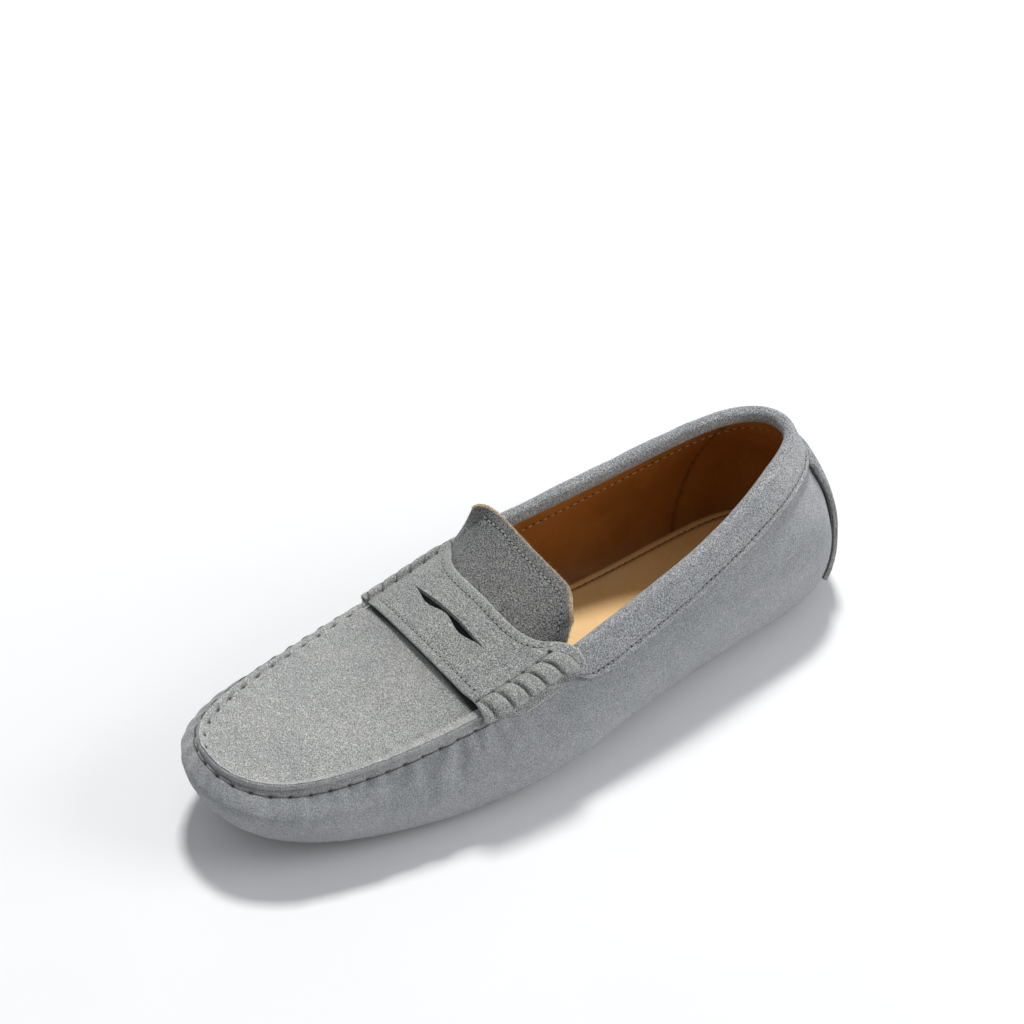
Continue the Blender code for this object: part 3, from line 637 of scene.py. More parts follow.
# Turn, depth of the outer holes below the rim
HOLE_LINE = ((4.5, 5.2, 6.0, 6.6, 7.0, 8.0, 9.5),
             (0.0034, 0.0034, 0.0026, 0.0014, 0.0010, 0.0010, 0.0010))


def line_depth(turns):
    """Depth of the outer row of holes below the rim."""
    return np.interp(turns, *HOLE_LINE)


def side_relief(turns, depth):
    """Height, stitch pits and lip of the side, at a depth below the rim."""
    run, line = seam_run(turns), line_depth(turns)
    on_seam = smooth_step(turns, 4.1, 4.6) * smooth_step(TURNS - turns, 4.1, 4.6)
    reach = 0.0085 * (1 + 0.35 * wander(run, 3, 0.03))
    swell = (1 - pulled(turns)) * (0.8 + 0.4 * wander(run, 5, 0.02))
    height = PUCKER * swell * np.exp(-(np.maximum(depth - line, 0) / reach) ** 1.3)
    scallop = line + 0.0007 * (swell - 0.6)
    lip = 1 - smooth_step(depth, scallop - 0.0004, scallop + 0.0004)
    lip_height = LIP_FACE * (0.7 + 0.6 * swell) * peak(depth - line, 0.0018)
    height = height * (1 - lip) + lip * lip_height
    pit = peak(hole_offset(turns), 0.0011) * peak(depth - line, 0.0007)
    groove = peak(depth - line - 0.0002, 0.0004)
    height = (height - STITCH_PIT * pit - GROOVE * groove) * on_seam
    for turn, start, length, slant, width, tall in CREASES:
        centre = seam_run(turn) + slant * (depth - start) / length
        fade = (smooth_step(depth, start - 0.004, start + 0.003)
                * (1 - smooth_step(depth, start + length * 0.3, start + length)))
        height = height + CREASE_DEPTH * tall * fade * peak(run - centre, CREASE_WIDTH * width)
    return height, pit * on_seam, lip * on_seam


print("holes along the seam:", int((seam_run(9.5) - seam_run(4.5)) / PITCH))

# %% [markdown]
# The side is a grid of points: columns round the shoe and rows up the side. The columns stand
# close together along the seam, about sixteen to a stitch, and wider apart round the plain heel.


# %% Columns round the shoe
def spaced(start, end, count):
    """Turns evenly spaced along the rim from one turn to another, without the last one."""
    turns = np.linspace(start, end, 400)
    run = run_along(round_curve(RIM, turns))
    return np.interp(np.linspace(0, run[-1], count + 1)[:-1], run, turns)


quick_share = 1.0


def fine(count):
    return int(count * quick_share)


def whole_ring(half):
    """Turns all round the shoe, mirrored from its outer half."""
    return np.concatenate((half, TURNS - half[-2:0:-1]))


HALF = np.concatenate((spaced(0.0, STRAP_REAR, fine(110)), spaced(STRAP_REAR, APRON_REAR, fine(22)),
                       spaced(APRON_REAR, TOE, fine(290)), (TOE,)))
RING = whole_ring(HALF)
COUNT = len(RING)
SEAM_FIRST = int(np.argmin(np.abs(HALF - APRON_REAR)))
SEAM_LAST = COUNT - SEAM_FIRST
on_apron = np.arange(COUNT)
on_apron = (on_apron >= SEAM_FIRST) & (on_apron <= SEAM_LAST)
rim_ring, foot_ring, into_ring, stand_ring = seam_frame(RING)
print("columns round the shoe:", COUNT)


# %% Sheets and floors round the shoe
def lay_floor(cut, ring, steps):
    """Close a ring of points under the foot with lines from side to side."""
    places = np.concatenate(cut.points)
    half = len(ring) // 2
    lines = []
    for index in range(half + 1):
        near, far = ring[index], ring[-index % len(ring)]
        if near == far:
            lines.append(np.full(steps + 1, near))
            continue
        shares = np.linspace(0, 1, steps + 1)[1:-1, None]
        inside = cut.row(places[far] + (places[near] - places[far]) * shares)
        lines.append(np.concatenate(((far,), inside, (near,))))
    cut.stack(lines)


def side_sheet(turns, climbs):
    """Places and outward ways on the side, a row for each climb, and their depth from the top."""
    places = np.stack([side_points(turns, climb) for climb in climbs])
    ways = np.stack([side_normals(turns, climb) for climb in climbs])
    steps = np.linalg.norm(np.diff(places, axis=0), axis=-1)
    depth = np.concatenate((np.cumsum(steps[::-1], 0)[::-1], np.zeros((1, len(turns)))))
    return places, ways, depth


# %% The side, one piece from the tread to the seam
SUEDE = 0.0013
FLOOR_STEPS = 8
climbs = np.concatenate((np.linspace(0, 0.36, 8), np.linspace(0.41, 0.74, 12),
                         np.linspace(0.76, 0.90, 11), np.linspace(0.905, 1.0, 34)))
side_grid, side_out, below_rim = side_sheet(RING, climbs)
relief, pits, lips = side_relief(np.broadcast_to(RING, below_rim.shape), below_rim)
soft = smooth_step(climbs, 0.1, 0.5)[:, None] * smooth_step(below_rim, 0.002, 0.010)
relief = relief + 0.00035 * nap_waves(side_grid, 0.016, 1.0) * soft
side_face = side_grid + side_out * relief[..., None]

side = Cut()
# Turn, and how far the lip is made pale there: partly rubbed nap, partly painted light on the ridge's
# outer face
RUBBED_AND_LIT = ((4.5, 5.5, 6.3, 7.0, 8.0, 9.5), (0.34, 0.34, 0.18, 0.06, 0.12, 0.15))
rubbed_and_lit_ring = np.interp(RING, *RUBBED_AND_LIT)
# The seam's lip is pale, partly rubbed nap and partly painted light; the stitch pits get painted shade.
outer = side.row(side_face, lips * rubbed_and_lit_ring, pits * 0.9)
side.stack(outer, loop=True)
lay_floor(side, outer[0], FLOOR_STEPS)
inner_climbs = np.concatenate((np.linspace(0, 0.42, 5), np.linspace(0.55, 1.0, 5)))
inner_grid, inner_out = side_sheet(RING, inner_climbs)[:2]
inner = side.row(inner_grid - inner_out * SUEDE)
side.stack(inner, loop=True)
lay_floor(side, inner[0], FLOOR_STEPS)

print("side:", outer.shape[0], "rows up the side")

# %% [markdown]
# The two lips of the seam are rows of points across the ridge. Each row has a share of the way
# in and a height. The tables by turn make the ridge tall at the toe, lower along the outer side
# and nearly flat on the inner side.

# %% The side's lip of the seam
# Share of the way in, height, and how far it swells between holes
SIDE_LIP = (
    (-0.02, 0.10, 0.3), (0.02, 0.30, 0.7), (0.07, 0.50, 0.9), (0.12, 0.70, 0.8), (0.17, 0.85, 0.6),
    (0.23, 0.94, 0.4), (0.29, 0.97, 0.2), (0.33, 0.90, 0.0), (0.33, 0.60, 0.0), (0.33, 0.25, 0.0),
)
# By turn: height of the ridge, its lean outwards, and how gently the apron climbs to it
RIDGE_TURNS = (4.5, 4.9, 5.2, 6.2, 6.6, 7.0, 7.6, 8.1, 8.45, 8.8, 9.5)
RIDGE_TALL = (0.60, 0.70, 0.72, 0.86, 0.94, 1.00, 0.85, 0.50, 0.24, 0.18, 0.10)
RIDGE_LEAN = (0.20, 0.20, 0.20, 0.08, 0.06, 0.10, 0.16, 0.16, 0.18, 0.20, 0.20)
RIDGE_GENTLE = (1.0, 1.0, 1.0, 1.0, 0.8, 0.2, 0.0, 0.0, 0.0, 0.0, 0.0)
tall_ring, lean_ring, gentle_ring = (np.interp(RING, RIDGE_TURNS, table)
                                     for table in (RIDGE_TALL, RIDGE_LEAN, RIDGE_GENTLE))
side_share = np.interp(RING, (6.5, 7.2), (1.0, 0.84))
width_ring = np.linalg.norm(foot_ring - rim_ring, axis=1)
swell_ring = (1 - pulled(RING)) * (0.8 + 0.3 * wander(seam_run(RING), 9, 0.02))


# Pale on the ridge's crest: partly rubbed nap, partly painted light.
CREST_RUBBED_AND_LIT = 0.45


def lip_rows(profile, flip):
    """Rows of a lip of the ridge; flip is for the apron's, which is told from its own side."""
    rows = []
    for share, height, swell in profile:
        way = -1.0
        if not flip:
            height = height * side_share
        else:
            climb = height if share > 0.64 else 1.02 * (share / 0.63) ** 1.3
            height = height * (1 - gentle_ring) + climb * gentle_ring
            share, way = 1 - share, 1.0
        across = width_ring * (share - lean_ring * height) + way * 0.00035 * swell * swell_ring
        lift = (SEAM_HEIGHT * height + 0.00045 * swell * swell_ring) * tall_ring - 0.00018
        row = rim_ring + into_ring * across[:, None] + stand_ring * lift[:, None]
        rough = 0.00020 * nap_waves(row, 0.0030, 5.0) + 0.00012 * nap_waves(row, 0.0013, 6.0)
        rows.append(row + stand_ring * (rough * tall_ring)[:, None])
    return rows


lip = lip_rows(SIDE_LIP, False)
collar_top = rim_ring + inward(RING) * SUEDE * 0.5 + np.array((0, 0, 0.0004))
lip = [np.where(on_apron[:, None], row, collar_top) for row in lip]
lip_index = [side.row(row, CREST_RUBBED_AND_LIT if number in (5, 6, 7) else rubbed_and_lit_ring * on_apron)
             for number, row in enumerate(lip)]
side.stack([outer[-1], *lip_index, inner[-1]], loop=True)
side.finish("side_suede", side_suede, "upper_suede", "upper")

# %% [markdown]
# The apron is the flat tongue shaped piece on top of the forefoot. It is a grid from the inner
# to the outer seam, a closed skin with its own lip, and it runs on under the strap, where shade
# is painted dark on it.


# %% The face of the apron
apron_turns = HALF[SEAM_FIRST:]
CROWD = math.pi / 2 * 0.86  # crowds the columns towards both seams
apron_across = np.sin(np.linspace(-1, 1, fine(150)) * CROWD) / math.sin(CROWD)
apron_grid = apron_face(apron_turns[:, None], apron_across[None])
apron_up = apron_normals(apron_turns[:, None], apron_across[None])
border_turns = seam_turn(np.linspace(seam_run(4.3), seam_run(9.7), 900))
border = seam_frame(border_turns)[1]


def from_border(points, line):
    """Distance of each point from a line, and the index of the line's nearest point."""
    flat = points.reshape(-1, 3)
    parts = np.array_split(flat, max(1, len(flat) // 2000))
    nearest = np.concatenate([np.argmin(((part[:, None] - line[None]) ** 2).sum(-1), 1)
                              for part in parts])
    distance = np.linalg.norm(flat - line[nearest], axis=1)
    return distance.reshape(points.shape[:-1]), nearest.reshape(points.shape[:-1])


inside, nearest = from_border(apron_grid, border)
near_turn = border_turns[nearest]
pucker = (0.4 - pulled(near_turn)) * np.exp(-(inside / 0.0045) ** 1.5) * 0.00040
body = 0.00055 * nap_waves(apron_grid, 0.022, 4.0) * smooth_step(inside, 0.002, 0.012)
apron_face_points = apron_grid + apron_up * (pucker + body)[..., None]

apron = Cut()
# Painted shade: dark under the strap, and a faint painted shadow that fades ahead of its front edge
painted_shade_under_strap = (0.87 * (1 - smooth_step(apron_turns, 5.02, 5.055))
               + 0.13 * (1 - smooth_step(apron_turns, 5.05, 5.75)))
top = apron.row(apron_face_points, 0.0, painted_shade_under_strap[:, None])
apron.stack(top)
under = apron.row(apron_grid - apron_up * SUEDE)
apron.stack(under)
around = np.concatenate((top[:, -1], top[-2::-1, 0]))
around_under = np.concatenate((under[:, -1], under[-2::-1, 0]))
print("apron:", top.shape[0], "rows along the foot")

# %% The apron's lip of the seam
APRON_LIP = (
    (0.07, 0.02, 0.0), (0.15, 0.05, 0.1), (0.23, 0.09, 0.2), (0.30, 0.14, 0.2), (0.35, 0.20, 0.1),
    (0.39, 0.31, 0.3), (0.42, 0.47, 0.8), (0.45, 0.64, 1.0), (0.49, 0.80, 0.9), (0.54, 0.92, 0.7),
    (0.59, 1.00, 0.5), (0.63, 1.02, 0.3), (0.66, 0.94, 0.0), (0.66, 0.25, 0.0),
)
# How deep each of its rows dips at a hole
APRON_PIT = (0.0, 0.0, 0.15, 0.55, 1.0, 0.8, 0.3, 0.05, 0, 0, 0, 0, 0, 0)
far_ring = smooth_step(RING, 6.2, 6.7)
pit_ring = (peak(hole_offset(RING), 0.0013) * far_ring)[:, None]
seam_part = slice(SEAM_FIRST, SEAM_LAST + 1)
lip = [(row - stand_ring * pit_ring * 0.0006 * pit)[seam_part]
       for row, pit in zip(lip_rows(APRON_LIP, True), APRON_PIT)]
inner_line = lip[4]
lip.append((rim_ring * 0.66 + foot_ring * 0.34 - stand_ring * 0.0006)[seam_part])
# Painted shade in the holes of the apron's lip
hole_painted_shade = pit_ring[seam_part, 0]
lip_index = [apron.row(row, CREST_RUBBED_AND_LIT if number in (9, 10, 11, 12) else 0.0, hole_painted_shade * pit)
             for number, (row, pit) in enumerate(zip(lip, (*APRON_PIT, 0.0)))]
apron.stack([around, *lip_index, around_under])
apron.join(top[0], under[0])
for end in (0, -1):
    apron.cap([row[end] for row in lip_index])
apron.finish("apron_suede", apron_suede, "upper_suede")

# %% [markdown]
# The seam's thread runs from hole to hole along the outer foot of the ridge. It is a thin tube
# that lies on the leather and dives into each hole. A dimple in a dark painted shade marks each
# hole, also on the inner side of the ridge from the toe on. The machine stitches of the other rows
# are short tubes sunk at both ends.


# %% A tube of thread
def tube(cut, path, radius, sides=6):
    """A closed round tube along a path of points."""
    path = np.asarray(path, float)
    ahead = unit(np.gradient(path, axis=0))
    across = unit(np.cross(ahead, np.array((0.31, 0.17, 0.94))))
    lift = np.cross(across, ahead)
    angles = np.linspace(0, 2 * math.pi, sides, endpoint=False)
    size = np.full(len(path), radius)
    size[[0, -1]] *= 0.35
    rows = [cut.row(place + (np.cos(angles)[:, None] * a + np.sin(angles)[:, None] * b) * r)
            for place, a, b, r in zip(path, across, lift, size)]
    cut.stack(rows, loop=True)
    for row, place in ((rows[0], path[0]), (rows[-1], path[-1])):
        tip = cut.row(np.repeat(place[None], sides, 0))
        cut.join(row, tip, loop=True)


# %% Needle holes
needle_holes = Cut()


def needle_hole(place, up, size, way=(0.31, 0.17, 0.94), stretch=1.0):
    """A small dimple where the needle went through, dark as painted shade of the hole, stretched along
    the given way.
    """
    side_way = unit(np.cross(up, np.asarray(way)))
    other = np.cross(side_way, up)
    angles = np.linspace(0, 2 * math.pi, 8, endpoint=False)[:, None]
    round_row = np.cos(angles) * side_way + np.sin(angles) * other * stretch
    rows = [needle_holes.row(place + round_row * size * share + up * size * lift)
            for share, lift in ((0.0, 0.32), (0.7, 0.26), (1.0, 0.0), (0.7, -0.5), (0.0, -0.6))]
    needle_holes.stack(rows, loop=True)


# %% Machine stitches
def sew(cut, places, normals, length, radius, hole=0.00048):
    """Short machine stitches, sunk at both ends, with a needle hole before each."""
    ahead = unit(np.gradient(places, axis=0))
    share = np.linspace(-1, 1, 7)
    for place, way, up, before in zip(places, ahead, normals, np.roll(places, 1, 0)):
        path = (place + way * share[:, None] * length / 2
                + up * ((0.55 - 1.7 * share ** 4) * radius)[:, None])
        tube(cut, path, radius)
        if np.linalg.norm(place - before) < length * 3:
            needle_hole((place + before) / 2, up, hole)


def even(points, normals, pitch):
    """Places one pitch apart along a line, with their normals."""
    run = run_along(points)
    count = max(2, int(run[-1] / pitch))
    at = (np.arange(count) + 0.5) * run[-1] / count
    pick = lambda table: np.stack([np.interp(at, run, table[:, axis]) for axis in range(3)], 1)
    return pick(points), unit(pick(normals))


# %% The hand sewn thread
SEAM_THREAD, SEAM_DIVE = 0.00030, 0.0006  # its radius, and how deep it goes into a hole
seam_line = Cut()
first_hole = math.ceil(float(seam_run(APRON_REAR + 0.1)) / PITCH)
last_hole = math.floor(float(seam_run(TURNS - APRON_REAR - 0.1)) / PITCH)
for number in range(first_hole, last_hole):
    runs = (number + np.linspace(0.0, 1.0, 11)) * PITCH
    turns = seam_turn(runs)
    arch = np.sin(np.linspace(0, math.pi, 11)) ** 0.5
    depth = line_depth(turns) + 0.0002
    relief_here = side_relief(turns, depth)[0]
    on_side, out = band_point(turns, depth, relief_here + 0.00010 * arch - SEAM_DIVE * (1 - arch))
    tube(seam_line, on_side, SEAM_THREAD)
    place, up = band_point(turns[:1], depth[:1], relief_here[:1])
    needle_hole(place[0], up[0], 0.00068, on_side[1] - on_side[0], 1.5)
    column = int(np.argmin(np.abs(RING - turns[0]))) - SEAM_FIRST
    if turns[0] > 6.42 and 0 < column < len(inner_line) - 1:
        way = inner_line[column + 1] - inner_line[column - 1]
        needle_hole(inner_line[column], stand_ring[column + SEAM_FIRST], 0.00050, way, 2.0)
seam_line.finish("seam_thread", seam_thread, "waxed_thread")

# %% [markdown]
# The collar is bound with a strip of the same suede, folded over a thin foam. It is one closed
# profile, deep outside and short inside, carried round the collar from strap to strap.

# %% The path and the ways of the binding
BAND, STITCH_SHARE = 0.0135, 0.83
collar_end = STRAP_REAR + 0.10
turns = np.linspace(-collar_end, collar_end, fine(420))
run = run_along(round_curve(RIM, turns))
collar_run = np.linspace(0, run[-1], fine(420))
COLLAR = np.interp(collar_run, run, turns)
ends = np.minimum(collar_run, run[-1] - collar_run)
corner = 0.010 * (1 - np.sqrt(1 - np.clip(1 - ends / 0.012, 0, 1) ** 2))
depth_here = BAND - corner
collar_rim = round_curve(RIM, COLLAR)
collar_in = inward(COLLAR)
collar_out = side_normals(COLLAR, 1.0)
inner_rim = collar_rim - collar_out * WALL
slope = unit(side_points(COLLAR, 0.90) - collar_rim)
up = np.array((0.0, 0.0, 1.0))
puff = 1 + 0.10 * wander(collar_run, 21, 0.03)
print("binding:", round(run[-1] * 1000), "mm long")

# %% The padded collar binding
# Outer face of the band: share of its depth, lift off the side
BAND_OUT = ((1.00, 0.0016), (0.985, 0.0019), (0.93, 0.0021), (0.87, 0.0020), (0.83, 0.0016),
            (0.79, 0.0020), (0.70, 0.0025), (0.55, 0.0027), (0.40, 0.0027), (0.26, 0.0027),
            (0.14, 0.0027), (0.05, 0.0026))
# Roll over the rim: way in, height above the rim
ROLL = ((-0.0023, 0.0012), (-0.0017, 0.0024), (-0.0007, 0.0031), (0.0006, 0.0033), (0.0018, 0.0029),
        (0.0027, 0.0021), (0.0032, 0.0009))
# Short inner face: depth, lift off the lining
BAND_IN = ((0.0006, 0.0015), (0.0018, 0.0014), (0.0026, 0.0011), (0.0029, 0.0005), (0.0022, 0.0001))
band_rows = [band_point(COLLAR, depth_here, np.full(len(COLLAR), 0.0004))[0]]
flat = np.ones(len(COLLAR))
band_rows += [band_point(COLLAR, depth_here * share, lift * (puff if share < 0.8 else flat))[0]
              for share, lift in BAND_OUT]
band_rows += [collar_rim + collar_in * across * puff[:, None] + up * (height * puff)[:, None]
              for across, height in ROLL]
band_rows += [inner_rim - collar_out * lift + slope * deep for deep, lift in BAND_IN]
band_rows += [inner_rim + collar_in * 0.0002 + up * 0.0004,
              collar_rim - collar_in * 0.0002 + up * 0.0006]
RIPPLED = range(2, 19)
ripple = 0.00022 * nap_waves(np.stack([band_rows[number] for number in RIPPLED]), 0.009, 8.0)
edge_pale = {0: 0.6, 1: 0.55, 2: 0.30}
binding = Cut()
strips = []
for number, row in enumerate(band_rows):
    if number in RIPPLED:
        row = row + collar_out * ripple[number - RIPPLED[0]][:, None]
    strips.append(binding.row(row, edge_pale.get(number, 0.0), 0.12 if number == 5 else 0.0))
binding.stack(strips + [strips[0]])
for end in (0, -1):
    binding.cap([strip[end] for strip in strips])
binding.finish("collar_binding_suede", binding_suede, "binding_suede", "collar_binding")

# %% Stitches of the binding
FINE_PITCH = 0.0024
line, out = band_point(COLLAR, depth_here * STITCH_SHARE, np.full(len(COLLAR), 0.0017))
collar_thread = Cut()
sew(collar_thread, *even(line[6:-6], out[6:-6], FINE_PITCH), 0.0017, 0.00028)
collar_thread.finish("collar_thread", grey_thread, "waxed_thread")

# %% [markdown]
# The lining is smooth tan leather, glued inside the suede. It follows the inner face of the
# side and fills the rest of the wall's thickness, with a row of stitches from the binding near
# the top and a joining seam on each side of the heel.

# %% The lining
COARSE_PITCH, LINING_ROW = 0.0034, 0.0105
HEEL_JOIN, JOIN_SLANT = 0.024, 0.38
LINING = whole_ring(np.concatenate((spaced(0.0, TOE, fine(170)), (TOE,))))
lining_climbs = np.concatenate((np.linspace(0, 0.42, 12), np.linspace(0.46, 1.0, 34)))
lining_grid, lining_out, depth = side_sheet(LINING, lining_climbs)
rim_run = run_along(round_curve(RIM, LINING))
heel_run = np.minimum(rim_run, rim_run[-1] - rim_run)
join = peak(heel_run[None] - HEEL_JOIN - JOIN_SLANT * depth, 0.0009)
row_mark = peak(depth - LINING_ROW, 0.0008)
sink = -0.0003 * row_mark - 0.0003 * join + 0.00030 * nap_waves(lining_grid, 0.02, 12.0)
lining = Cut()
skin_in = lining.row(lining_grid - lining_out * (WALL + 0.0002 + sink)[..., None],
                     0.0, join * 0.8 * (depth > 0.004))
skin_out = lining.row(lining_grid - lining_out * (SUEDE + 0.0001))
for skin in (skin_in, skin_out):
    lining.stack(skin, loop=True)
    lay_floor(lining, skin[0], FLOOR_STEPS)
lining.join(skin_in[-1], skin_out[-1], loop=True)
lining.finish("lining_leather", lining_leather, "lining_leather")

# %% Stitches of the lining
lining_turns = np.linspace(-3.6, 3.6, 400)
line, out = band_point(lining_turns, LINING_ROW, np.full(400, -(WALL + 0.00005)))
lining_thread = Cut()
sew(lining_thread, *even(line, -out, COARSE_PITCH), 0.0016, 0.00026)
lining_thread.finish("lining_thread", tan_thread, "waxed_thread")

# %% [markdown]
# The footbed is a padded sock of pale leather over the insole board. It reaches the wall on
# all sides, its edge rolls down, and a row of stitches runs a little way in from the edge.


# %% The footbed
def tread_grid(inset, columns, turns):
    """Level lines across the foot between the tread points, shortened by an inset."""
    near, far = round_curve(TREAD, TURNS - turns), round_curve(TREAD, turns)
    across = far - near
    into = unit(across) * np.minimum(float(inset), 0.4 * np.linalg.norm(across, axis=1))[:, None]
    shares = np.linspace(0, 1, columns)[None, :, None]
    return (near + into)[:, None] * (1 - shares) + (far - into)[:, None] * shares


INSOLE = 0.0030
BED_ROW, BED_INSET = 0.0036, 0.0010
bed_turns = np.concatenate((np.linspace(0.22, 4.5, 120), np.linspace(4.55, 6.8, 60)))
bed_top = tread_grid(-BED_INSET, 90, bed_turns) + up * (WALL + BED_GAP + INSOLE)
bed_under = tread_grid(BED_INSET, 90, bed_turns) + up * (WALL + BED_GAP)
edge_line = np.concatenate((three_edges(bed_top), bed_top[0, ::-1]))
from_edge = from_border(bed_top, edge_line)[0]
stitch_row = peak(from_edge - BED_ROW, 0.0008)
dome = smooth_step(from_edge, 0.0, 0.006) * 0.0006 - 0.0006
bed_top[..., 2] += dome - 0.0004 * stitch_row + 0.0002 * nap_waves(bed_top, 0.02, 3.0)
# Darker along the stitch row, and painted shade along the edge where the footbed meets the wall.
bed_row_dark_and_edge_shade = np.maximum(stitch_row * 0.25, 0.5 * (1 - smooth_step(from_edge, 0.0, 0.0015)))
bed = sheet_of_leather(bed_top, bed_under, 0.0, bed_row_dark_and_edge_shade, edge=0.0)
bed.finish("footbed", footbed_leather, "footbed_leather", "insole")

# %% Stitches of the footbed
bed_thread = Cut()
for edge in (0, 1):
    line = tread_grid(BED_ROW - BED_INSET, 2, bed_turns)[10:-24, edge] + up * (WALL + BED_GAP + INSOLE)
    sew(bed_thread, *even(line, np.tile(up, (len(line), 1)), COARSE_PITCH), 0.0021, 0.00026, 0.00034)
bed_thread.finish("footbed_thread", brown_thread, "waxed_thread")

# %% [markdown]
# The strap lies over the instep and is wrapped over both seams. Its ends are gathered into a
# roll by the seam's thread, with a flat ear left below the outer row of holes. The path runs
# from ear to ear and is smoothed, and the holes, rolls and stitch rows are raised or sunk on it.

# %% The strap's sizes
STRAP = 0.0020
NOMINAL_WIDTH = 0.043
OVER_BINDING = 0.0024
# Ear below the outer holes: depth, how far its rear and its front corner are cut back
EAR_CUTS = (
    (0.0056, 0.0090, 0.0030), (0.0048, 0.0052, 0.0016), (0.0034, 0.0026, 0.0006),
    (0.0016, 0.0008, 0.0), (0.0, 0.0002, 0.0),
)
# Over the seam's ridge: share of the way in, height, lean, and how far the rear is cut back
RIDGE_NEAR = (
    (-0.15, 0.0013, -1.0, 0.0000), (-0.12, 0.0029, -0.9, 0.0001), (0.03, 0.0039, -0.5, 0.0005),
    (0.36, 0.0043, 0.0, 0.0011), (0.76, 0.0042, 0.20, 0.0019), (1.15, 0.0036, 0.35, 0.0030),
    (1.50, 0.0026, 0.30, 0.0040),
)
RIDGE_FAR = (
    (-0.14, 0.0012, -1.0, 0.0000), (-0.13, 0.0030, -0.9, 0.0001), (-0.02, 0.0045, -0.5, 0.0005),
    (0.22, 0.0051, 0.0, 0.0011), (0.50, 0.0046, 0.30, 0.0019), (0.80, 0.0029, 0.45, 0.0030),
    (1.15, 0.0019, 0.30, 0.0040),
)


def strap_turn(share, across):
    """Turn of a place on the strap, from its rear edge to its front edge."""
    rims = round_curve(RIM, np.array((STRAP_REAR, STRAP_FRONT)))
    per_turn = (rims[0, 1] - rims[1, 1]) / (STRAP_FRONT - STRAP_REAR)
    back_curve = np.where(np.asarray(across) < 0, 0.0105, 0.0150) * across ** 4
    rear = STRAP_REAR + (0.0150 - back_curve) / per_turn
    front = STRAP_FRONT + 0.0015 / per_turn * (1 - across ** 2)
    return rear + (front - rear) * share


shares = np.linspace(0, 1, fine(84))
ACROSS = np.linspace(-1, 1, 19)[1:-2]
print("strap over the foot:", np.round(strap_turn(np.array((0.0, 1.0)), 0.0), 2), "in turns")


# %% The strap's ends, from an ear to the apron
def strap_end(outer_side):
    """Control places of the strap's underside, and the ways up from them."""
    run = []
    across, low_ridge, ridge = (1.0, 0.95, RIDGE_NEAR) if outer_side else (-1.0, 0.22, RIDGE_FAR)
    at_ends = 1 - smooth_step(shares, 0.02, 0.20) + smooth_step(shares, 0.82, 1.0)
    taper = 1 - 0.15 * outer_side * at_ends

    def strap_line(rear_cut, front_cut=0.0):
        low, high = -0.03 + rear_cut / NOMINAL_WIDTH, 1 - front_cut / NOMINAL_WIDTH
        turn = strap_turn(low + (high - low) * shares, across)
        over_binding = OVER_BINDING * (1 - smooth_step(turn, 4.08, 4.22))
        return turn if outer_side else TURNS - turn, over_binding

    for depth, rear_cut, front_cut in EAR_CUTS:
        turn, over_binding = strap_line(rear_cut, front_cut)
        deep = depth * (0.30 + 0.70 * smooth_step(1 - shares, 0.02, 0.40))
        run.append(band_point(turn, 0.0012 + deep, 0.0006 + over_binding))
    for way_in, height, lean, rear_cut in ridge:
        turn, over_binding = strap_line(rear_cut)
        outwards = (over_binding * np.clip(-6 * way_in, 0, 1))[:, None]
        rim, foot, into, stand = seam_frame(turn)
        lift = (height * low_ridge * taper)[:, None]
        place = rim + (foot - rim) * way_in + stand * lift - into * outwards
        run.append((place, unit(stand * (1 - abs(lean) * 0.7) + into * lean)))
    return run


middle = []
for across in ACROSS:
    turn = strap_turn(shares, across)
    normal = apron_normals(turn, across)
    hug = (0.0017 - 0.0010 * abs(across)
           + (0.0009 if across > 0 else -0.0002) * smooth_step(abs(across), 0.72, 0.98))
    middle.append((apron_face(turn, across) + normal * hug, normal))
controls = strap_end(False) + middle + strap_end(True)[::-1]
control_places = np.stack([place for place, way in controls], 1)
control_ways = np.stack([way for place, way in controls], 1)
print("strap's control lines:", len(controls))


# %% The strap's smooth underside
def smooth_path(table, knots, at):
    """Points of a smooth line through a table's columns (second axis)."""
    slope = np.gradient(table, knots, axis=1)
    low = np.clip(np.searchsorted(knots, at) - 1, 0, len(knots) - 2)
    width = (knots[low + 1] - knots[low])[None, :, None]
    part = (at - knots[low])[None, :, None] / width
    back = 1 - part
    return (table[:, low] * (1 + 2 * part) * back ** 2 + slope[:, low] * width * part * back ** 2
            + table[:, low + 1] * (3 - 2 * part) * part ** 2
            - slope[:, low + 1] * width * back * part ** 2)


knots = run_along(control_places.mean(0))
fine_at = np.linspace(0, knots[-1], fine(230))
strap_under = smooth_path(control_places, knots, fine_at)
strap_way = unit(smooth_path(control_ways, knots, fine_at))
near_knots = knots[-1] - knots[::-1]
# Outer and inner row of holes on each roll, as distances from the ear's end
HOLES_FAR = (knots[4], knots[9] + 0.0004)
HOLES_NEAR = (near_knots[4] + 0.0008, near_knots[10] + 0.0006)
print("strap:", round(knots[-1] * 1000), "mm from ear to ear")

# %% [markdown]
# The roll is gathered by wraps of thread. Each wrap runs slanting from an outer to an inner hole
# and leaves a valley, with a hump between two of them. The phase counts the wraps along the roll,
# and everything on it, humps, valleys, folds and holes, is a function of that phase.

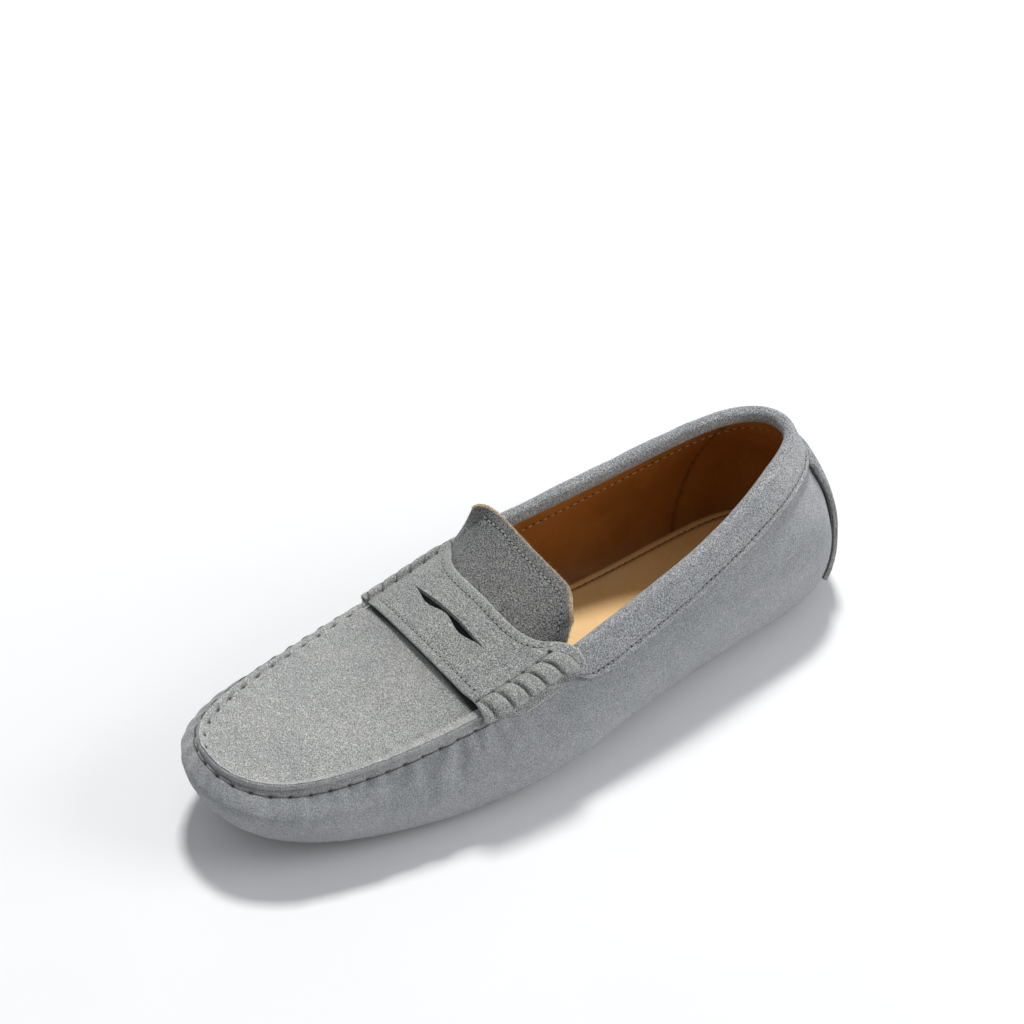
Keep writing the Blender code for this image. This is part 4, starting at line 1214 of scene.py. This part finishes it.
# %% The strap's relief
WRAPS, FIRST_HOLE, SLANT = 6.0, 0.60, 0.59
REAR_ROW, FRONT_ROW = 0.0038, 0.0036
HUMP, VALLEY, FOLD, HOLE_ROW, HOLE = 0.0017, 0.0008, 0.0008, 0.0010, 0.0006
from_end = np.minimum(fine_at, knots[-1] - fine_at)[None, :]
width_run = np.linalg.norm(np.diff(strap_under, axis=0), axis=-1)
width_run = np.concatenate((np.zeros((1, len(fine_at))), np.cumsum(width_run, 0)))
strap_width = width_run[-1:]
on_near = np.where(fine_at > knots[-1] / 2, 1.0, 0.0)[None, :]
hole_out, hole_in = (far + (near - far) * on_near for far, near in zip(HOLES_FAR, HOLES_NEAR))
over = np.clip((hole_in - from_end) / (hole_in - hole_out), 0, 1)
phase = width_run / strap_width * WRAPS + FIRST_HOLE - 0.5 + SLANT * over
hole_gap = (phase - np.round(phase)) * strap_width / WRAPS
rear_gap, front_gap = width_run, strap_width - width_run
before_ear = smooth_step(phase, 0.96, 1.14)
roll_share = (from_end - (hole_out + hole_in) / 2) / ((hole_in - hole_out) * 0.48)
on_roll = np.exp(-roll_share ** 4) * before_ear
out_hole = peak(from_end - hole_out, 0.0008) * before_ear
in_hole = peak(from_end - hole_in, 0.0008) * before_ear
valley, fold = peak(hole_gap, 0.0011), peak(hole_gap, 0.00045)
holes = (out_hole + in_hole) * peak(hole_gap, 0.0010)
inside_roll = smooth_step(from_end, hole_in + 0.001, hole_in + 0.004)
rows_mark = (peak(rear_gap - REAR_ROW, 0.0006) + peak(front_gap - FRONT_ROW, 0.0006)) * inside_roll
edge_gap = np.minimum(np.minimum(rear_gap, front_gap), from_end)
rise = on_roll * (HUMP - VALLEY * valley - FOLD * fold) * (0.38 + 0.62 * on_near)
rise = rise - HOLE_ROW * (out_hole + in_hole) * (0.7 + 0.3 * on_near) - HOLE * holes
rise = rise - 0.0007 * (1 - on_near) * (1 - smooth_step(from_end, hole_in, hole_in + 0.010))
rise = rise - 0.00035 * rows_mark + 0.0002 * nap_waves(strap_under, 0.012, 15.0)
rise = rise - 0.0005 * np.exp(-edge_gap / 0.0007)
print("strap's relief:", np.round(np.array((rise.min(), rise.max())) * 1000, 2), "mm")

# %% The strap's marks and its skin
# Pale: the raw edges, and the tops of the roll's humps, partly rubbed nap and partly a painted
# highlight.
pale = np.maximum(0.75 * peak(edge_gap, 0.0006), 0.28 * on_roll * (1 - valley))
# Dark: painted shade in the holes, in the folds of the roll and in the grooves along its rows of holes;
# the stitch rows are a little darker.
fold_painted_shade = 0.75 * fold * on_roll * (0.4 + 0.6 * on_near)
dark = np.maximum.reduce((holes * 0.97, rows_mark * 0.15, fold_painted_shade, 0.40 * in_hole, 0.34 * out_hole))
front_lift = (0.0007 * (1 - smooth_step(front_gap, 0.0, 0.005))
              * smooth_step(from_end, hole_in + 0.002, hole_in + 0.010))
strap_under = strap_under + strap_way * front_lift[..., None]
strap_top = strap_under + strap_way * (STRAP + rise)[..., None]
# The strap's raw edges get a painted shadow along their foot.
strap = sheet_of_leather(strap_top, strap_under, pale, dark, edge=0.75, shade=0.85)
strap_piece = strap.finish("penny_strap_suede", strap_suede, "strap_suede", "penny_strap")

# %% [markdown]
# The slot is cut with a punch, as on the real strap. The punch is a thin closed solid whose
# front edge has two waves, and a boolean takes it out of the strap.

# %% The slot
SLOT_LENGTH, SLOT_WAVE, SLOT_BACK = 0.0440, 0.0034, 0.0002
front_points = apron_face(strap_turn(1.0, 0.0), np.array((-0.5, 0.5)))
slot_way = unit(front_points[1] - front_points[0])
slot_ahead = np.array((slot_way[1], -slot_way[0], 0.0))
slot_middle = front_points.mean(0) - slot_ahead * 0.0173 - slot_way * 0.0030
part = np.linspace(0, 1, 41)
wave = np.sin(math.pi * part) ** 0.6 * (0.76 - 0.34 * np.cos(4 * math.pi * part))
slot_line = slot_middle + slot_way * (SLOT_LENGTH * (part - 0.5))[:, None]
front_edge = slot_line + slot_ahead * (SLOT_WAVE * wave)[:, None]
rear_edge = (slot_line - slot_ahead * (SLOT_BACK * np.sin(math.pi * part))[:, None])[1:-1]
outline = np.concatenate((front_edge, rear_edge[::-1])) * (1, 1, 0)
punch = Cut()
low_row, high_row = (punch.row(outline + (0, 0, height)) for height in (0.040, 0.075))
punch.join(low_row, high_row, loop=True)
for row in (low_row, high_row):
    punch.join(row[:41], np.concatenate((row[:1], row[:40:-1], row[40:41])))
slot_punch = punch.solid("slot_punch")
cutting = strap_piece.modifiers.new("slot", "BOOLEAN")
cutting.operation = "DIFFERENCE"
cutting.solver = "EXACT"
cutting.object = slot_punch
graph = bpy.context.evaluated_depsgraph_get()
strap_mesh = bpy.data.meshes.new_from_object(strap_piece.evaluated_get(graph))
strap_piece.modifiers.clear()
strap_piece.data = strap_mesh
bpy.data.objects.remove(slot_punch, do_unlink=True)
print("strap with slot:", len(strap_mesh.polygons), "faces")

# %% Stitches across the strap
strap_thread = Cut()
inside_columns = np.where((from_end > hole_in + 0.003)[0])[0]
kernel = np.ones(5) / 5
for gap_table, inset in ((rear_gap, REAR_ROW), (front_gap, FRONT_ROW)):
    rows_at = np.argmin(np.abs(gap_table[:, inside_columns] - inset), 0)
    line = strap_top[rows_at, inside_columns]
    ways = strap_way[rows_at, inside_columns]
    smooth = np.stack([np.convolve(np.pad(line[:, axis], 2, "edge"), kernel, "valid")
                       for axis in range(3)], 1)
    sew(strap_thread, *even(smooth, ways, FINE_PITCH), 0.0015, 0.00032)
strap_thread.finish("strap_thread", grey_thread, "waxed_thread")

# %% Thread over the rolls
STEPS = 13
wrap_thread = Cut()
arch = np.sin(np.linspace(0, math.pi, STEPS)) ** 0.5
for on_outer, (outer_row, inner_row) in enumerate((HOLES_FAR, HOLES_NEAR)):
    centres = np.linspace(inner_row + 0.0002, outer_row - 0.0002, STEPS)
    centres = knots[-1] - centres if on_outer else centres
    columns = [int(np.argmin(np.abs(fine_at - centre))) for centre in centres]
    for number in range(1, int(WRAPS) + 1):
        path, ways = [], []
        for column, slant in zip(columns, SLANT * np.linspace(0, 1, STEPS)):
            run = width_run[:, column]
            spot = (number + 0.5 - FIRST_HOLE - slant) / WRAPS * run[-1]
            path.append([np.interp(spot, run, strap_top[:, column, axis]) for axis in range(3)])
            ways.append([np.interp(spot, run, strap_way[:, column, axis]) for axis in range(3)])
        path, ways = np.array(path), unit(np.array(ways))
        if spot > run[-1] - 0.002:
            continue
        tube(wrap_thread, path + ways * (0.00002 * arch - SEAM_DIVE * (1 - arch))[:, None], 0.00024)
        for index in (0, -1):
            size = 0.00060 + 0.00012 * on_outer
            needle_hole(path[index], ways[index], size, path[1] - path[0], 1.8)
wrap_thread.finish("wrap_thread", seam_thread, "waxed_thread")

# %% [markdown]
# The tongue is a flap that comes out from under the strap and stands up at its end. Its raw
# edge shows the tan flesh of the hide, with a fuzz of short fibres.

# %% The tongue's shape
TONGUE, TONGUE_ROW, HIDDEN, CURL = 0.0018, 0.0042, 12, 0.0012
across = np.linspace(-1, 1, fine(130))
far_side = np.clip(-across, 0, 1)
margin = SEAM_WIDTH + 0.0009 - 0.0078 * far_side ** 3
front = apron_face(np.full(len(across), APRON_REAR), across, SEAM_WIDTH + 0.0009)
front[:, 1] += 0.0006
rear = apron_face(strap_turn(0.0, across), across, margin)
rims = round_curve(RIM, np.array((STRAP_REAR, TURNS - STRAP_REAR)))
end = rims.mean(0) + np.outer(across, (0.0300, 0.0, 0.0))
end[:, 1] += 0.0085 - 0.0050 * across ** 6
end[:, 2] += 0.0185
end += (far_side ** 2)[:, None] * (-0.0020, -0.0006, 0.0042)
near_corner, far_corner = np.clip((across - 0.66) / 0.34, 0, 1), np.clip((-across - 0.86) / 0.14, 0, 1)
near_cut, far_cut = (1 - np.sqrt(1 - corner ** 2) for corner in (near_corner, far_corner))
reach = (1.02 - 0.38 * near_cut - 0.13 * far_cut)[:, None]
lines = [front + (rear - front) * share for share in np.linspace(0, 1, HIDDEN + 1)[:-1]]
curl_back = np.array((0, 1, 0)) * CURL
lines += [rear + (end - rear) * share * reach + curl_back * math.sin(math.pi * share) * 0.6
          for share in np.linspace(0, 1, fine(50))]
tongue_grid = np.stack(lines)
tongue_up = unit(np.cross(np.gradient(tongue_grid, axis=1), np.gradient(tongue_grid, axis=0)))
print("tongue:", len(lines), "rows from the apron to its end")

# %% The tongue's skin
flap = tongue_grid[HIDDEN:]
flap_edge = three_edges(flap)
from_edge, nearest = from_border(tongue_grid, flap_edge)
row_mark = peak(from_edge - TONGUE_ROW, 0.0007)
rise = -0.00035 * row_mark - 0.0003 * np.exp(-from_edge / 0.0006)
rise = rise + 0.0003 * nap_waves(tongue_grid, 0.014, 17.0)
tongue_top = tongue_grid + tongue_up * rise[..., None]
# Painted shade on the tongue where it runs under the strap, seen through the slot
tongue_painted_shade = (np.arange(len(tongue_grid)) < HIDDEN - 1)[:, None]
tongue = sheet_of_leather(tongue_top, tongue_grid - tongue_up * TONGUE, 0.5 * peak(from_edge, 0.0005),
                          np.maximum(row_mark * 0.15, 0.85 * tongue_painted_shade), edge=0.9)
tongue.finish("tongue_suede", tongue_suede, "tongue_suede", "tongue")

# %% Stitches of the tongue
flap_top, flap_up, flap_gap = tongue_top[HIDDEN:], tongue_up[HIDDEN:], from_edge[HIDDEN:]
at_row = np.abs(flap_gap - TONGUE_ROW) < 0.0005
order = nearest[HIDDEN:][at_row]
line, ways = [], []
for first in range(len(flap) + 3, 2 * len(flap) + len(across) - 6, 3):
    here = (order >= first) & (order < first + 3)
    if here.any():
        line.append(flap_top[at_row][here].mean(0))
        ways.append(flap_up[at_row][here].mean(0))
line, ways = np.array(line), unit(np.array(ways))
tongue_thread = Cut()
sew(tongue_thread, *even(line, ways, FINE_PITCH), 0.0015, 0.00032)
tongue_thread.finish("tongue_thread", grey_thread, "waxed_thread")

# %% [markdown]
# The heel patch covers the seam up the back. Its thick raw edges stand proud of the side.

# %% The heel patch
PATCH_FOOT, PATCH_TOP = 0.0110, 0.0136  # height of its lower edge, depth of its upper edge
HALF_LOW, HALF_HIGH = 0.0320, 0.0130
PATCH_ROW, PATCH_THICK = 0.0030, 0.0034
back = np.zeros(1)
climb_table = np.linspace(0.0, 1.0, 201)
heights = np.array([side_points(back, climb)[0, 2] for climb in climb_table])
top_height = band_point(back, PATCH_TOP, back)[0][0, 2]
foot_climb, top_climb = (float(np.interp(height, heights, climb_table))
                         for height in (PATCH_FOOT, top_height))
patch_turns = np.linspace(-2.5, 2.5, 301)
tops, unders, gaps = [], [], []
for level in np.linspace(0, 1, fine(70)):
    climb = foot_climb + (top_climb - foot_climb) * level
    half = HALF_LOW + (HALF_HIGH - HALF_LOW) * level
    length = run_along(side_points(patch_turns, climb))
    length -= np.interp(0.0, patch_turns, length)
    wave_near, wave_far = (0.0008 * float(wander(level * 0.06, seed, 0.007))
                           + 0.0004 * float(wander(level * 0.06, seed + 2, 0.0019)) for seed in (31, 37))
    offsets = np.linspace(-half - wave_near, half + wave_far, fine(90))
    turns = np.interp(offsets, length, patch_turns)
    place, normals = side_points(turns, climb), side_normals(turns, climb)
    gap = np.minimum(np.minimum(offsets - offsets[0], offsets[-1] - offsets), level * 0.045)
    mark = peak(gap - PATCH_ROW, 0.0006)
    unders.append(place + normals * (0.0004 + 0.0003 * np.exp(-gap / 0.0015))[:, None])
    thick = PATCH_THICK - 0.0006 * mark - 0.0005 * np.exp(-gap / 0.0006)
    tops.append(place + normals * thick[:, None])
    gaps.append(gap)
patch_top, patch_under, gap_table = np.stack(tops), np.stack(unders), np.stack(gaps)
# The patch's raw edges get a painted shadow along their foot, in the gap to the side.
patch = sheet_of_leather(patch_top, patch_under, 0.3 * peak(gap_table, 0.0006),
                         peak(gap_table - PATCH_ROW, 0.0006) * 0.15, edge=0.55, shade=0.9)
patch.finish("heel_patch_suede", patch_suede, "patch_suede", "heel_patch")

# %% Stitches of the patch
FIRST_STITCHED = 8
patch_thread = Cut()
halfway = gap_table.shape[1] // 2
for half in (slice(0, halfway), slice(halfway, None)):
    columns = np.argmin(np.abs(gap_table[FIRST_STITCHED:, half] - PATCH_ROW), 1) + half.start
    on_row = np.arange(FIRST_STITCHED, len(patch_top)), columns
    line, ways = patch_top[on_row], unit(patch_top - patch_under)[on_row]
    sew(patch_thread, *even(line, ways, 0.0028), 0.0018, 0.00030)
patch_thread.finish("patch_thread", grey_thread, "waxed_thread")

# %% [markdown]
# A raw edge of suede is never clean: short fibres stand off it. Each is a thin bent hair at a
# random place along the edge, drawn from a fixed seed so that every run gives the same ones.


# %% Fibres on the raw edges
def fibres(cut, places, ways, amount, length, radius, seed):
    """Short bent hairs along a line of places, leaning roughly along the given ways."""
    draw = np.random.RandomState(seed)
    at = draw.uniform(0, len(places) - 1.001, amount)
    low, part = at.astype(int), (at % 1)[:, None]
    spots = places[low] * (1 - part) + places[low + 1] * part
    leans = unit(ways[low] * (1 - part) + ways[low + 1] * part)
    for spot, lean in zip(spots, leans):
        lean = unit(lean + draw.normal(0, 0.45, 3))
        size, bend = length * draw.uniform(0.35, 1.0), draw.normal(0, 0.3, 3)
        path = spot + (np.outer((-0.2, 0.5, 1.0), lean) + np.outer((0.0, 0.1, 0.5), bend)) * size
        tube(cut, path, radius, 3)


# %% Fibres of the tongue
tongue_hair = Cut()
flap_away = np.concatenate((flap[:, 0] - flap[:, 1], flap[-1] - flap[-2],
                            flap[::-1, -1] - flap[::-1, -2]))
flap_middle = flap_edge - three_edges(flap_up) * TONGUE * 0.55
fibres(tongue_hair, flap_middle, unit(flap_away), 420, 0.0011, 0.00006, 41)
raw_tan = suede("tongue_fibre_tan", (0.30, 0.19, 0.09), (0.55, 0.38, 0.20), (0.75, 0.58, 0.36), 0.3)
tongue_hair.finish("tongue_fibres", raw_tan, "tongue_suede")

# %% Fibres of the strap, the binding, the patch and the seam's crest
band_up = np.tile(up, (len(COLLAR), 1))
crest_turns = np.linspace(5.05, 8.95, 500)
rim, foot, into, stand = seam_frame(crest_turns)
tall, lean = (np.interp(crest_turns, RIDGE_TURNS, table)[:, None] for table in (RIDGE_TALL, RIDGE_LEAN))
crest = rim + (foot - rim) * (0.33 - lean) + stand * SEAM_HEIGHT * tall * 0.9
edge_hair = Cut()
# Places, ways, amount, length, radius; each gets the next seed
for seed, hairs in enumerate((
        (strap_top[-1], unit(strap_top[-1] - strap_top[-2]), 320, 0.0006, 0.00005),
        (strap_top[0], unit(strap_top[0] - strap_top[1]), 320, 0.0006, 0.00005),
        (band_rows[16], band_up + 0.4 * collar_in, 700, 0.00050, 0.00004),
        (band_rows[14], band_up + 0.8 * collar_out, 500, 0.00050, 0.00004),
        (band_rows[2], collar_out + slope, 600, 0.0006, 0.00005),
        (patch_top[:, 0], unit(patch_top[:, 0] - patch_top[:, 1]), 420, 0.0009, 0.00005),
        (patch_top[:, -1], unit(patch_top[:, -1] - patch_top[:, -2]), 420, 0.0009, 0.00005),
        (crest, stand, 900, 0.00055, 0.00004)), 42):
    fibres(edge_hair, *hairs, seed)
edge_hair.finish("suede_fibres", binding_suede, "upper_suede")

# %% The needle holes
# The dimples are coloured near black, the painted shade inside each hole.
needle_hole_shade = two_tone("needle_hole_painted_shade", (2500, 1), (0.03, 0.03, 0.028), (0.07, 0.07, 0.065), 0.95)
needle_holes.finish("needle_holes", needle_hole_shade, "waxed_thread")

# %% [markdown]
# The rubber sole is a thin plate with studs under the heel and the forefoot. Its shape in the
# frame is right, so it keeps that shape and takes a rubber finish.

# %% The sole keeps its own shape
def rubber(name):
    """Black sole rubber, matt, with a fine moulded grain."""
    material, tree, shader = fresh_material(name)
    grain = noise_field(tree, 900, 2)
    dust = noise_field(tree, 60, 4, 0.6, 0.45, 0.75)
    colour = socket_mix(tree, dust, (0.022, 0.022, 0.023), (0.05, 0.048, 0.046))
    tree.links.new(colour, shader.inputs["Base Color"])
    shader.inputs["Roughness"].default_value = 0.62
    bump(tree, shader, (grain, 0.00008))
    return material


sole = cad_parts["outsole"]
sole.data.materials.clear()
sole.data.materials.append(rubber("sole_rubber_black"))
print("sole faces:", len(sole.data.polygons))

# %% [markdown]
# A pale studio floor carries the shadow. The key light is a soft box high up behind the inner
# side, so the outer side is in the shade. A wider, weaker box behind the outer side and a pale
# sky keep that shade readable.

# %% Floor
bpy.ops.mesh.primitive_plane_add(size=8.0, location=(0, 0, 0))
floor = bpy.context.object
floor.name = "studio_floor"
floor.data.materials.append(
    two_tone("floor_paper", (12, 2, 0.5, 0.2, 0.8), (0.86, 0.86, 0.865), (0.88, 0.88, 0.88), 0.9))
floor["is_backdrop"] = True
print("floor:", floor.name)


# %% Lights
LIT_SPOT = Vector((0, 0, 0.03))


def soft_light(name, place, size, power, colour):
    """A square soft box at a place, turned to the shoe."""
    lamp = bpy.data.lights.new(name, "AREA")
    lamp.shape, lamp.size, lamp.energy, lamp.color = "SQUARE", size, power, colour
    thing = bpy.data.objects.new(name, lamp)
    thing.location = place
    thing.rotation_euler = (LIT_SPOT - Vector(place)).to_track_quat("-Z", "Y").to_euler()
    bpy.context.collection.objects.link(thing)


soft_light("key_light", (-1.66, 1.12, 3.464), 0.62, 123, (1.0, 0.995, 0.985))
soft_light("fill_light", (1.6, 2.1, 1.3), 1.6, 34, (0.97, 0.98, 1.0))
world = bpy.data.worlds.new("studio")
world.use_nodes = True
sky = world.node_tree.nodes["Background"].inputs
sky["Color"].default_value, sky["Strength"].default_value = (0.93, 0.96, 1.0, 1), 0.37
bpy.context.scene.world = world
bpy.context.scene.view_settings.view_transform = "Standard"
print("lights:", [thing.name for thing in bpy.data.lights])

# %% [markdown]
# The camera has a long lens and stands about 1.4 m away, in front of the toe on the outer side
# and above it. Its roll of less than a degree follows the photo.

# %% Camera
CAMERA_PLACE, CAMERA_AIM = Vector((0.8004, -0.5491, 1.0449)), Vector((-0.0851, 0.0530, 0.0))
CAMERA_ROLL, LENS = math.radians(-0.7511), 127.03
camera = bpy.data.objects.new("camera", bpy.data.cameras.new("camera"))
camera.data.lens, camera.data.sensor_width = LENS, 36.0
camera.data.clip_end = 50
turned = (CAMERA_AIM - CAMERA_PLACE).to_track_quat("-Z", "Y").to_matrix().to_4x4()
camera.matrix_world = Matrix.Translation(CAMERA_PLACE) @ turned @ Matrix.Rotation(CAMERA_ROLL, 4, "Z")
bpy.context.collection.objects.link(camera)
bpy.context.scene.camera = camera
print("camera:", round((CAMERA_AIM - CAMERA_PLACE).length, 2), "m from its aim")

# %% Compare the boxes and finish
visual_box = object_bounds()
for name, (low, high) in (("cad", cad_box), ("visual", visual_box)):
    print(name, "box mm:", [round((b - a) * 1000, 1) for a, b in zip(low, high)])
